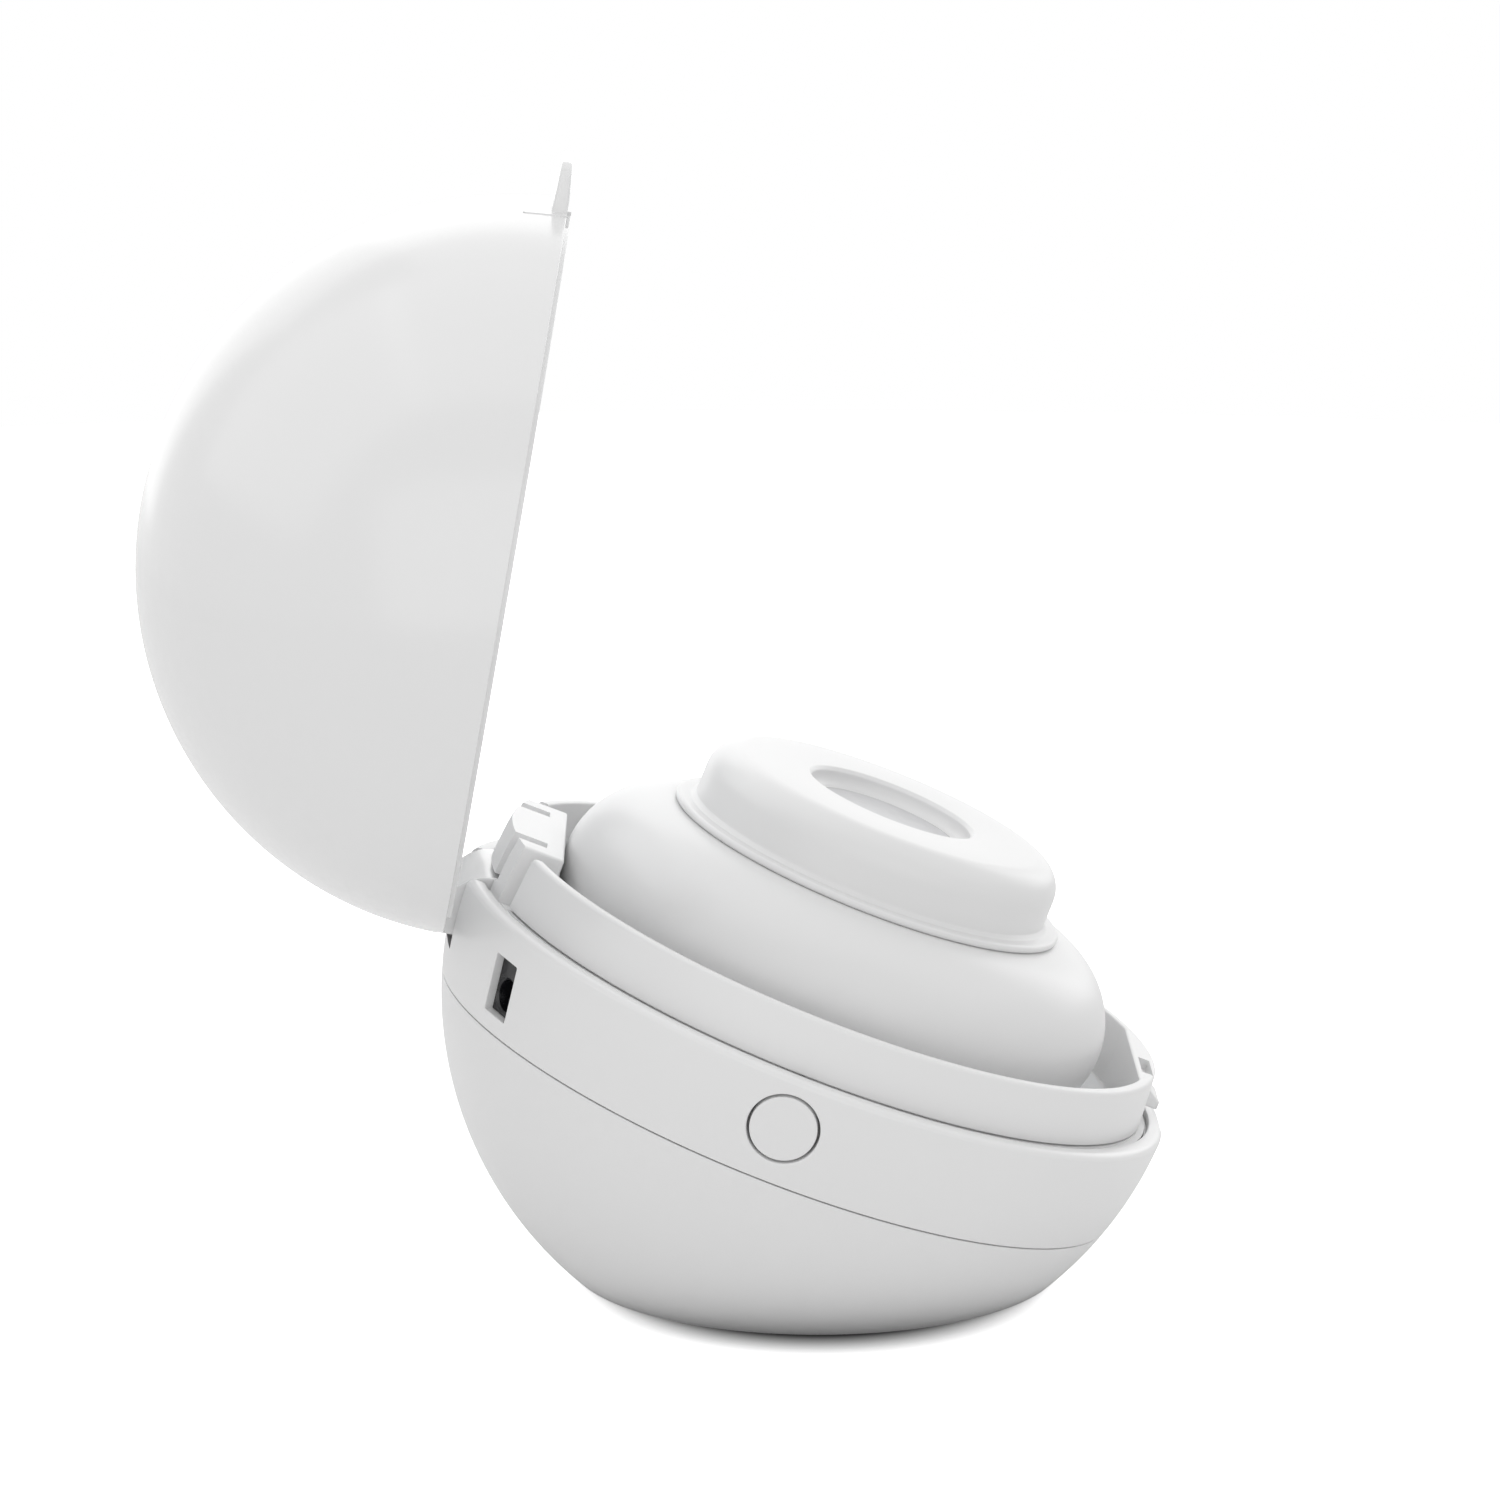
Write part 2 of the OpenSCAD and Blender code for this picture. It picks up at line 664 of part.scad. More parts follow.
module hinge_pin() color([0.75, 0.76, 0.78]) in_ball()
    at_hinge() rod_x(pin_r, pin_l);

// ---------- lid, modelled closed and then swung open ----------
module lid_shell() color(white) in_lid() difference() {
    lathe(concat(
        [[ring_out_r, rim_gap]],
        arc([0, 0], lid_r, asin(rim_gap / lid_r), 90, 36),
        arc([0, 0], lid_in_r, 90, asin((rim_gap + ring_h) / lid_in_r), 36),
        [[ring_out_r, rim_gap + ring_h]]));
    block([-latch_w / 2, -far, -1], [latch_w / 2, 0, rim_gap + latch_h]);
    block([-relief_w / 2, 0, -1], [relief_w / 2, far, barrel_top]);
}

module lid_frame() color(white) in_lid() difference() {
    union() {
        difference() {
            lathe([[ring_out_r, rim_gap], [ring_out_r, rim_gap + ring_h],
                   [sqrt(pow(lid_in_r, 2) - pow(rim_gap + ring_h, 2)),
                    rim_gap + ring_h],
                   [lid_in_r, rim_gap + 0.6], [lip_in_r, rim_gap + 0.2],
                   [lip_in_r, rim_gap - lip_h],
                   [lip_in_r + lip_t, rim_gap - lip_h],
                   [lip_in_r + lip_t, rim_gap]]);
            block([-latch_w / 2, -far, -5], [latch_w / 2, 0, 20]);
            // the lip ends short of the hinge, so that it clears the band
            block([-lip_end, 0, -5], [lip_end, far, rim_gap]);
            block([-ring_end, 0, -5], [ring_end, far, rim_gap + 0.6]);
            block([-relief_w / 2, 0, -5], [relief_w / 2, far, barrel_top]);
        }
        intersection() {
            union() {
                at_hinge() rod_x(barrel_r, barrel_w);
                block([-barrel_w / 2, hinge_t - 0.9, hinge_n],
                      [barrel_w / 2, far, barrel_top]);
            }
            sphere(r = lid_r);
        }
    }
    at_hinge() rod_x(pin_r + pin_fit, barrel_w + 2);
}

module thumb_tab() color(white) in_lid() difference() {
    union() {
        intersection() {
            sphere(r = lid_r + latch_proud);
            block([-latch_w / 2, -far, rim_gap], [latch_w / 2, 0, rim_gap + latch_h]);
        }
        intersection() {
            translate([0, -lid_r + 1, rim_gap]) mirror([0, 1, 0])
                linear_extrude(tab_t) rounded_plan(tab_w, tab_reach + 1, 2);
            rotate([90, 0, 90]) translate([0, 0, -tab_w])
                linear_extrude(2 * tab_w)
                    polygon([[-lid_r + 1, rim_gap], [-lid_r - 1, rim_gap],
                             [-lid_r - tab_reach, rim_gap + 0.35],
                             [-lid_r - tab_reach, rim_gap + tab_t - 0.3],
                             [-lid_r + 1, rim_gap + tab_t]]);
        }
    }
    difference() {
        union() {
            sphere(r = lid_in_r);
            // channel for the catch nub, with the snap bead left at its mouth
            rotate([90, 0, 90]) translate([0, 0, -nub_w / 2 - 0.4])
                linear_extrude(nub_w + 0.8)
                    polygon([[0, rim_gap - 1], [-channel_r, rim_gap - 1],
                             [-channel_r, nub_tip + run], [-lid_in_r, nub_tip + 0.8],
                             [0, nub_tip + 0.8]]);
        }
        block([-nub_w / 2 + 0.2, -channel_r - 1, rim_gap],
              [nub_w / 2 - 0.2, -nub_r + snap, nub_low - 0.35]);
    }
}

module lid_reflector() color([0.88, 0.89, 0.9]) in_lid() {
    out_r = lid_in_r - seat;
    in_r = out_r - reflector_t;
    lathe(concat(
        arc([0, 0], out_r, asin(reflector_n / out_r), 90, 24),
        arc([0, 0], in_r, 90, asin(reflector_n / in_r), 24)));
}

module interlock_peg() color(light_grey) in_lid() intersection() {
    sphere(r = lid_in_r - 0.02);
    block([-peg_side - peg_w / 2, -slot_t - peg_t / 2, collar_h - 0.7],
          [-peg_side + peg_w / 2, -slot_t + peg_t / 2, reflector_n - 0.6]);
}

// ---------- inner cover that lifts off the bowl ----------
module cover_dome() color(warm_white) in_ball() {
    in_round = dome_round - dome_wall;
    foot_a = asin((dome_foot - dome_belly) / dome_round);
    lathe(concat(
        arc([dome_arc_r, dome_belly], dome_round, foot_a, 90, 18),
        [[0, dome_top], [0, dome_top - dome_wall]],
        arc([dome_arc_r, dome_belly], in_round, 90,
            asin((dome_foot - dome_belly) / in_round), 18)));
}

module cover_cap() color(white) in_ball() {
    lip_top = dome_top + cap_lip_t;
    floor_n = cap_top - recess_h;
    difference() {
        lathe(concat(
            [[0, dome_top], [cap_lip_r - 0.4, dome_top]],
            arc([cap_lip_r - cap_lip_t / 2, dome_top + cap_lip_t / 2], cap_lip_t / 2,
                -75, 75, 6),
            [[cap_lip_r - 0.4, lip_top], [cap_r + 0.5, lip_top],
             [cap_r, lip_top + 0.5]],
            arc([cap_r - cap_round, cap_top - cap_round], cap_round, 0, 90, 10),
            [[recess_r + 0.4, cap_top], [recess_r, cap_top - 0.4]],
            arc([recess_r - recess_round, floor_n + recess_round], recess_round,
                0, -90, 6),
            [[0, floor_n]]));
        under = floor_n - insert_t - cap_wall;
        lathe([[0, dome_top - 1], [cap_r - cap_wall, dome_top - 1],
               [cap_r - cap_wall, cap_top - cap_round - cap_wall],
               [cap_r - cap_round - 0.5, under], [0, under]]);
        translate([0, 0, floor_n - insert_t]) cylinder(r = insert_r + seat, h = 5);
    }
}

module cap_insert() color(light_grey) in_ball()
    translate([0, 0, cap_top - recess_h - insert_t])
        cylinder(r = insert_r, h = insert_t);

lower_shell();
foot_pad();
band_shell();
collar();
chamber_bowl();
quartz_window();
uvc_lamps();
main_board();
board_screws();
battery();
battery_tray();
charging_inlet();
inlet_contact();
push_switch();
switch_board();
lid_sensor();
hinge_pin();
deck_screws();
lid_shell();
lid_frame();
thumb_tab();
lid_reflector();
interlock_peg();
button_cap();
switch_plunger();
cover_dome();
cover_cap();
cap_insert();
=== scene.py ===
"""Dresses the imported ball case: fine-edged shells, finishes, studio and camera.

Sizes are in millimetres and become metres when a piece is placed. The ball frame
has its origin at the ball's centre and +Z along the normal of the rim plane, so
its Y runs up and back to the hinge. The lid is modelled closed, in the ball
frame, and is placed open by the hinge.
"""

import math

import bmesh
import bpy
from mathutils import Matrix, Vector

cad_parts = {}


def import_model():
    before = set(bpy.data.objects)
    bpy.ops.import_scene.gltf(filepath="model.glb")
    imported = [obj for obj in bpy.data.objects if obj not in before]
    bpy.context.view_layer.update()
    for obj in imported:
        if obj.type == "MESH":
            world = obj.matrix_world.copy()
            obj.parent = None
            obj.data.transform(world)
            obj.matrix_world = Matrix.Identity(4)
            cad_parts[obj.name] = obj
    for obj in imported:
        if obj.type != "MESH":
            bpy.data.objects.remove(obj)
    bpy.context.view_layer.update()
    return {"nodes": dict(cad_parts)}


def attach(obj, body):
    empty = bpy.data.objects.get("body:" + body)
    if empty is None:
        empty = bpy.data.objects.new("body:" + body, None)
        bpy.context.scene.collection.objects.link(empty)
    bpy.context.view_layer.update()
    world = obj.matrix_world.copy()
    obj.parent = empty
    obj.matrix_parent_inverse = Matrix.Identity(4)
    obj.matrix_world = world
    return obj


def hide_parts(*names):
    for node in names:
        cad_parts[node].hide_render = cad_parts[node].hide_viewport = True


MM = 0.001

# ---------- sizes, in millimetres ----------
RUN = 0.3  # usual clearance between moving pieces
SEAT = 0.05  # clearance of a piece in its seat
EDGE = 0.15  # usual rounding of a moulded edge
FAR = 120.0  # reach of a cutting block
BACK = 20.0  # cutting blocks for the back begin here
SEGMENTS = 240  # steps round a large turned solid
SHARP = math.radians(28)  # corners that bend less than this stay smooth
ON_SPHERE = 0.05  # a face this close to a sphere is shaded as part of it

BALL_R = 41.0
SHELL_WALL = 2.0
INNER_R = BALL_R - SHELL_WALL
INSIDE_R = BALL_R - 0.4  # bosses inside the band end here
TILT = 21.3
FOOT_R = 27.1
PAD_R = FOOT_R - 2.6
PAD_T = 1.2
PAD_PROUD = 0.3
FLOOR_T = 2.9
BALL_Z = PAD_PROUD + math.sqrt(BALL_R**2 - FOOT_R**2)

BAND_H = 11.8
SHOULDER_R = 0.9
SEAM_GAP = 0.15
MOUTH_R = INNER_R + 0.2
THUMB_W = 15.0
THUMB_H = 0.8

LID_R = BALL_R - 1
LID_WALL = 1.2
LID_IN_R = LID_R - LID_WALL
RIM_GAP = 0.25
RING_H = 2.8
RING_OUT_R = LID_R - LID_WALL / 2
LIP_T = 0.4
LIP_H = 0.5
LID_OPEN = 101.2
REFLECTOR_T = 0.7
REFLECTOR_N = 14.0

HINGE_T = BALL_R - 3.9
HINGE_N = -3.9
BARREL_R = 4.6
BARREL_W = 14.0
BARREL_TOP = HINGE_N + BARREL_R + 0.15
RELIEF_W = 24.0
LIP_CUT_W = RELIEF_W + 9
RING_CUT_W = RELIEF_W + 3
NOTCH_W = BARREL_W + 1
POCKET_R = BARREL_R + RUN + SEAT
NOTCH_N = HINGE_N - POCKET_R
TONGUE_N = HINGE_N + BARREL_R + 0.5
PIN_R = 1.0
PIN_FIT = 0.06
PIN_L = NOTCH_W + 6
BOSS_R = 2.3

COLLAR_R = LID_IN_R - 0.6
COLLAR_TOP_R = COLLAR_R - 0.45
COLLAR_IN_R = COLLAR_R - 1.6
COLLAR_H = 5.9
COLLAR_ROUND = 0.5
COLLAR_FOOT_N = -0.05
FOOT_GROOVE = 0.6
FOOT_GROOVE_H = 0.25
MOAT_N = RIM_GAP - LIP_H - RUN  # floor of the channel that the lid's lip enters
SHELF_N = -0.8
SHELF_T = 1.2
SHELF_UNDER = SHELF_N - SHELF_T
CHORD_T = COLLAR_IN_R - 1.6
HOUSING_W = 23.0
HOUSING_WALL = 1.4
HOUSING_T = HINGE_T - POCKET_R - 0.5
HOUSING_TOP = COLLAR_H + 0.35
HOUSING_OUT_R = LID_IN_R - RUN - SEAT
COLLAR_CUT_W = HOUSING_W + 5  # the ring is open over this width, round the housing
SLOT_PITCH = 15.0
SLOT_W = 2.2
SLOT_DEEP = 1.0
PEG_THICK = 0.7
PEG_T = (CHORD_T + COLLAR_R - PEG_THICK) / 2
PEG_SIDE = 3.9
PEG_W = 5.4

TAB_W = 12.0
TAB_REACH = 5.0
TAB_T = 1.7
LATCH_W = TAB_W + 2
LATCH_H = 4.6
LATCH_PROUD = 0.1
NUB_W = 6.0
NUB_R = COLLAR_R + 1.2
NUB_LOW = 1.5
NUB_TIP = 2.4
NUB_HIGH = 3.9
CHANNEL_R = NUB_R + RUN + SEAT
SNAP = 0.15  # how far the bead reaches under the nub

DOME_R = HOUSING_T - 0.35
DOME_ROUND = 9.8
DOME_BELLY = 5.0
DOME_WALL = 1.6
DOME_TOP = DOME_BELLY + DOME_ROUND
CAP_LIP_R = DOME_R - DOME_ROUND + 0.8
CAP_LIP_T = 0.9
CAP_R = CAP_LIP_R - 2
CAP_TOP = DOME_TOP + 7.9
CAP_ROUND = 3.5
CAP_WALL = 1.6
RECESS_R = 9.25
RECESS_H = 1.9
RECESS_ROUND = 1.2
INSERT_R = RECESS_R - RECESS_ROUND - 2 * SEAT
INSERT_T = 1.0

SHELF_R = DOME_R + 0.5
BOWL_R = DOME_R - 2.1
BOWL_DEPTH = 14.4
BOWL_WALL = 1.2
BOWL_FLANGE_R = COLLAR_IN_R - 2.5
BOWL_TOP = SHELF_N + SHELF_T
DOME_FOOT = BOWL_TOP + SEAT
WINDOW_R = 9.0

BUTTON_AZ = 3.5
BUTTON_EL = -math.degrees(math.asin(5.7 / BALL_R))
BUTTON_R = 3.55
BUTTON_GAP = 0.3
BUTTON_BACK = INNER_R - 1.5
BUTTON_ROOM_R = BUTTON_R + 1.4  # the collar is cut clear of the button within this
BUTTON_FLARE = 0.22
BUTTON_FLANGE = 0.75
BUTTON_FLANGE_T = 0.9
BUTTON_FACE_R = BALL_R - 0.1

JACK_AZ = 57.0
JACK_EL = -math.degrees(math.asin(6.75 / BALL_R))
JACK_W = 4.2
JACK_H = 6.4
JACK_FACE = BALL_R - 1.1
JACK_FLARE = 0.12
JACK_HOLE_R = 1.75
JACK_HOLE_L = 7.0
JACK_HOLE_DROP = 0.9
JACK_PIN_R = 0.6

# ---------- camera, as the photograph was taken ----------
CAMERA_TARGET = Vector((0, 7.24, 58.0))
CAMERA_DISTANCE = 661.1
CAMERA_TURN = math.radians(0.76)
CAMERA_RISE = math.radians(12.2)
CAMERA_LENS = 146.2
CAMERA_SENSOR = 36

# ---------- studio, in metres and watts ----------
AMBIENT = 0.55
FLOOR_R = 0.6
FLOOR_GLOW = 0.8
FLOOR_TONE = 0.9
PAINTED_SHADOW_TONE = 0.12  # painted contact shadow: the floor's colour under the foot is darkened to this
# place and reach of the painted contact shadow on the floor
SHADE_CENTRE = (-0.009, 0, 0)
SHADE_INNER = 0.0165
SHADE_OUTER = 0.0275
LAMP_AIM = Vector((0, 0, 0.06))
# name, place, width and height, power
LAMPS = [
    ("top", (0.0, 0.0, 1.2), (1.2, 1.2), 2.4),
    ("top_left", (0.0, 1.0, 0.9), (1.3, 1.3), 2.8),
    ("top_right", (0.0, -1.0, 0.9), (1.0, 1.0), 1.6),
    ("near_low", (-1.3, 0.0, 0.4), (2.2, 1.2), 4.9),
    ("far_top", (0.9, 0.0, 0.9), (0.8, 0.8), 0.8),
    ("far_right", (0.9, -0.9, 0.4), (0.6, 0.6), 1.2),
    ("backdrop", (1.2, 0.0, 0.5), (2.2, 1.2), 4.4),
    ("lid_bounce", (0.0, 0.034, 0.088), (0.05, 0.04), 0.006),
]


# ---------- frames ----------
def shift(x, y, z):
    return Matrix.Translation((x, y, z))


def turn(degrees, axis):
    return Matrix.Rotation(math.radians(degrees), 4, axis)


BALL = shift(0, 0, BALL_Z) @ turn(TILT, "X")
HINGE = shift(0, HINGE_T, HINGE_N)
LID = BALL @ HINGE @ turn(-LID_OPEN, "X") @ HINGE.inverted()


def on_ball(azimuth, elevation):
    """Frame whose Z points out of the ball, X up and Y towards the back."""
    return turn(-azimuth, "Z") @ turn(elevation - 90, "Y")


BUTTON = on_ball(BUTTON_AZ, BUTTON_EL)
JACK = on_ball(JACK_AZ, JACK_EL)


# ---------- outlines ----------
def arc(centre, radius, start, end, steps):
    """Points (radius, height) on an arc, with its angles in degrees."""
    angles = [math.radians(start + (end - start) * i / steps) for i in range(steps + 1)]
    return [(centre[0] + radius * math.cos(a), centre[1] + radius * math.sin(a)) for a in angles]


def rise(height, radius):
    """The angle at which an arc about the origin reaches a height."""
    return math.degrees(math.asin(height / radius))


def soften(outline, radius=EDGE, steps=4):
    """The closed outline with each corner sharper than SHARP rounded off."""
    made = []
    count = len(outline)
    for i, point in enumerate(outline):
        here = Vector(point)
        back = Vector(outline[i - 1]) - here
        ahead = Vector(outline[(i + 1) % count]) - here
        bend = math.pi - back.angle(ahead)
        if bend < SHARP or abs(here.x) < 1e-6:
            made.append(here)
            continue
        reach = min(radius * math.tan(bend / 2), 0.45 * back.length, 0.45 * ahead.length)
        first = here + back.normalized() * reach
        last = here + ahead.normalized() * reach
        for k in range(steps + 1):
            t = k / steps
            made.append(first * (1 - t) ** 2 + here * 2 * t * (1 - t) + last * t**2)
    return made


def grown(outline, distance):
    """The closed outline moved outwards, for one that runs anticlockwise."""
    made = []
    count = len(outline)
    for i, point in enumerate(outline):
        along = Vector(outline[(i + 1) % count]) - Vector(outline[i - 1])
        made.append(Vector(point) + Vector((along.y, -along.x)).normalized() * distance)
    return made


def circle(radius, steps=72):
    return [
        Vector((radius * math.cos(a), radius * math.sin(a)))
        for a in (2 * math.pi * i / steps for i in range(steps))
    ]


def box_outline(width, height, corner):
    """Anticlockwise rectangle about the origin, height along X and width along Y."""
    x, y = height / 2, width / 2
    return soften([(-x, -y), (x, -y), (x, y), (-x, y)], corner, 6)


# ---------- solids, as meshes ----------
def closed_mesh(builder):
    """The bmesh as a mesh with its faces turned outwards."""
    bmesh.ops.recalc_face_normals(builder, faces=builder.faces)
    mesh = bpy.data.meshes.new("solid")
    builder.to_mesh(mesh)
    builder.free()
    return mesh


def lathe(outline, segments=SEGMENTS):
    """Solid of revolution about Z of a closed outline of (radius, height)."""
    builder = bmesh.new()
    turns = [2 * math.pi * i / segments for i in range(segments)]
    rings = []
    for r, z in outline:
        places = turns if r > 1e-6 else turns[:1]
        rings.append([builder.verts.new((r * math.cos(a), r * math.sin(a), z)) for a in places])
    for low, high in zip(rings, rings[1:] + rings[:1]):
        if len(low) == len(high) == 1:
            continue
        for i in range(segments):
            j = (i + 1) % segments
            corners = [low[i % len(low)], low[j % len(low)], high[j % len(high)], high[i % len(high)]]
            builder.faces.new(dict.fromkeys(corners))
    return closed_mesh(builder)


def stack(rings):
    """Closed solid through rings of as many points each, with flat ends."""
    builder = bmesh.new()
    loops = [[builder.verts.new(p) for p in ring] for ring in rings]
    for low, high in zip(loops, loops[1:]):
        for i in range(len(low)):
            j = (i + 1) % len(low)
            builder.faces.new((low[i], low[j], high[j], high[i]))
    builder.faces.new(loops[0])
    builder.faces.new(loops[-1])
    return closed_mesh(builder)


def prism(outline, low, high, soft=0.0, steps=4):
    """Outline drawn up from low to high, its ends rounded by soft."""
    levels = [(low, 0.0), (high, 0.0)]
    if soft:
        quarter = [math.pi / 2 * k / steps for k in range(steps + 1)]
        levels = [(low + soft * (1 - math.sin(a)), soft * (1 - math.cos(a))) for a in quarter[::-1]]
        levels += [(high - soft * (1 - math.sin(a)), soft * (1 - math.cos(a))) for a in quarter]
    return stack([[(*p, z) for p in grown(outline, -inset)] for z, inset in levels])


def block(low, high, soft=0.0):
    """Box between two corners, with all its edges rounded by soft."""
    builder = bmesh.new()
    bmesh.ops.create_cube(builder, size=1)
    size = Vector(high) - Vector(low)
    middle = (Vector(high) + Vector(low)) / 2
    for v in builder.verts:
        v.co = Vector(a * b for a, b in zip(v.co, size)) + middle
    if soft:
        bmesh.ops.bevel(
            builder, geom=list(builder.edges), offset=soft, segments=4, profile=0.5, affect="EDGES"
        )
    return closed_mesh(builder)


def slab(width, low, high, soft=0.0):
    """Block centred on the middle plane, from low to high in (y, z)."""
    return block((-width / 2, *low), (width / 2, *high), soft)


def ball(radius, steps=96):
    """Full ball about the origin."""
    return lathe(arc((0, 0), radius, -90, 90, steps))


def rod_x(radius, length, soft=0.0, segments=96):
    """Rod along X about the origin."""
    half = length / 2
    return placed(
        lathe(soften([(0, -half), (radius, -half), (radius, half), (0, half)], soft or 0.01), segments),
        turn(90, "Y"),
    )


def across(outline, width, soft=0.0):
    """Side outline of (y, z), anticlockwise, drawn across X to a width."""
    return placed(prism(outline, -width / 2, width / 2, soft), turn(90, "Z") @ turn(90, "X"))


def drum(radius, low, high, segments=96):
    """Plain cylinder about Z."""
    return lathe([(0, low), (radius, low), (radius, high), (0, high)], segments)


def placed(mesh, matrix):
    mesh.transform(matrix)
    return mesh


def combine(operation, base, tools):
    """base with the tools added, cut out or kept. It uses the meshes up."""
    owners = [bpy.data.objects.new("solid", mesh) for mesh in (base, *tools)]
    for owner in owners:
        bpy.context.scene.collection.objects.link(owner)
    for tool in owners[1:]:
        step = owners[0].modifiers.new("step", "BOOLEAN")
        step.operation = operation
        step.solver = "MANIFOLD"
        step.object = tool
    graph = bpy.context.evaluated_depsgraph_get()
    made = bpy.data.meshes.new_from_object(owners[0].evaluated_get(graph))
    for owner in owners:
        mesh = owner.data
        bpy.data.objects.remove(owner)
        bpy.data.meshes.remove(mesh)
    return made


def joined(base, *tools):
    return combine("UNION", base, tools)


def cut(base, *tools):
    return combine("DIFFERENCE", base, tools)


def common(base, *tools):
    return combine("INTERSECT", base, tools)


def hole_cutter(outline, flare, depth=8):
    """Cutter for a hole through the band, its rim rounded by flare all along."""

    def ring(grow, below):
        points = grown(outline, grow)
        return [(p.x, p.y, math.sqrt(BALL_R**2 - p.length_squared) - below) for p in points]

    rings = [[(p.x, p.y, BALL_R - depth) for p in outline]]
    for degrees in range(0, 76, 15):
        a = math.radians(degrees)
        rings.append(ring(flare * (1 - math.cos(a)), flare * (1 - math.sin(a))))
    rings.append(ring(flare * 2.2, -flare))
    rings.append([(x, y, BALL_R + 2) for x, y, _ in rings[-1]])
    return stack(rings)


# ---------- pieces ----------
def piece(name, mesh, frame, body, finish, spheres=()):
    """Places a mesh, drawn in a frame, as the piece that stands for the node of its name."""
    shade(mesh, spheres)
    mesh.transform(Matrix.Scale(MM, 4) @ frame)
    mesh.name = name + "_mesh"
    made = bpy.data.objects.new(name + "_skin", mesh)
    bpy.context.scene.collection.objects.link(made)
    mesh.materials.clear()
    mesh.materials.append(finish)
    mesh.polygons.foreach_set("material_index", [0] * len(mesh.polygons))
    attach(made, body)
    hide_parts(name)
    return made


def shade(mesh, spheres):
    """Smooth shading, sharp at real edges and exact on spheres of (centre, radius)."""
    mesh.polygons.foreach_set("use_smooth", [True] * len(mesh.polygons))
    mesh.set_sharp_from_angle(angle=SHARP)
    if not spheres:
        return
    normals = [Vector(n.vector) for n in mesh.corner_normals]
    for face in mesh.polygons:
        for centre, radius in spheres:
            out = face.center - Vector(centre)
            sense = face.normal.dot(out.normalized())
            if abs(out.length - radius) > ON_SPHERE or abs(sense) < 0.97:
                continue
            for corner in face.loop_indices:
                point = mesh.vertices[mesh.loops[corner].vertex_index].co - Vector(centre)
                normals[corner] = point.normalized() * math.copysign(1, sense)
    mesh.normals_split_custom_set(normals)


def lower_shell(finish):
    """Base below the seam, with its floor, the pad's seat and the spigot ring."""
    spigot_r = math.sqrt(INNER_R**2 - BAND_H**2) - SEAT
    floor_z = PAD_PROUD + FLOOR_T
    top = -BAND_H - SEAM_GAP
    shell = lathe(
        soften(
            arc((0, 0), BALL_R, -90, rise(top, BALL_R), 60)
            + arc((0, 0), INNER_R, rise(top, INNER_R), -90, 60)
        )
    )
    to_ball = BALL.inverted()
    floor_slab = placed(block((-FAR, -FAR, 0), (FAR, FAR, floor_z)), to_ball)
    shell = joined(shell, common(ball(INNER_R + 0.3), floor_slab))
    shell = cut(
        shell,
        placed(block((-FAR, -FAR, -FAR), (FAR, FAR, PAD_PROUD)), to_ball),
        placed(drum(PAD_R + SEAT, -1, PAD_T + SEAT), to_ball),
    )
    low, high, back_r = -BAND_H - 2.2, -BAND_H + 1.1, spigot_r - 1.1
    ring = lathe(soften([(back_r, low), (spigot_r, low), (spigot_r, high), (back_r, high)], 0.1))
    mesh = joined(shell, ring)
    return piece("lower_shell", mesh, BALL, "base", finish, [((0, 0, 0), BALL_R)])


def foot_pad(finish):
    """Round rubber pad, with its underside on the table."""
    profile = soften([(0, 0), (PAD_R, 0), (PAD_R, PAD_T), (0, PAD_T)], 0.35)
    return piece("foot_pad", lathe(profile), Matrix(), "base", finish)


def band_shell(finish):
    """Band round the ball, with its hinge notch, thumb scoop, button hole and inlet window."""
    centre_r = math.sqrt((BALL_R - SHOULDER_R) ** 2 - SHOULDER_R**2)
    lean = math.degrees(math.atan(SHOULDER_R / centre_r))
    shell = lathe(
        soften(
            arc((0, 0), BALL_R, rise(-BAND_H, BALL_R), -lean, 14)
            + arc((centre_r, -SHOULDER_R), SHOULDER_R, -lean, 90, 8)[1:]
            + [(MOUTH_R, 0), (MOUTH_R, -SHOULDER_R)]
            + arc((0, 0), INNER_R, -rise(SHOULDER_R, INNER_R), rise(-BAND_H, INNER_R), 14)
        )
    )
    pin_bosses = common(placed(rod_x(BOSS_R, PIN_L + 1), HINGE), ball(INSIDE_R))
    mesh = cut(
        joined(shell, pin_bosses),
        slab(NOTCH_W, (BACK, HINGE_N), (FAR, 5)),
        placed(rod_x(POCKET_R, NOTCH_W), HINGE),
        placed(rod_x(PIN_R + SEAT / 2, PIN_L + SEAT), HINGE),
        thumb_scoop(),
        placed(hole_cutter(circle(BUTTON_R + BUTTON_GAP), BUTTON_FLARE), BUTTON),
        placed(hole_cutter(box_outline(JACK_W, JACK_H, 0.25), JACK_FLARE), JACK),
    )
    return piece("band_shell", mesh, BALL, "base", finish, [((0, 0, 0), BALL_R)])


def thumb_scoop():
    """Shallow scoop in the band's top edge, under the thumb tab."""
    curve_r = THUMB_W * 1.2
    scoop = placed(drum(curve_r, -10, 10), shift(0, -BALL_R, curve_r - THUMB_H) @ turn(90, "X"))
    return common(scoop, slab(THUMB_W, (-BALL_R - 4, -THUMB_H), (-BALL_R + 1.1, 2)))


def housing():
    """Raised block over the hinge barrel, with its soft edges."""
    body = slab(HOUSING_W, (HOUSING_T, NOTCH_N - 0.4), (FAR, HOUSING_TOP), 0.3)
    return common(body, ball(HOUSING_OUT_R))


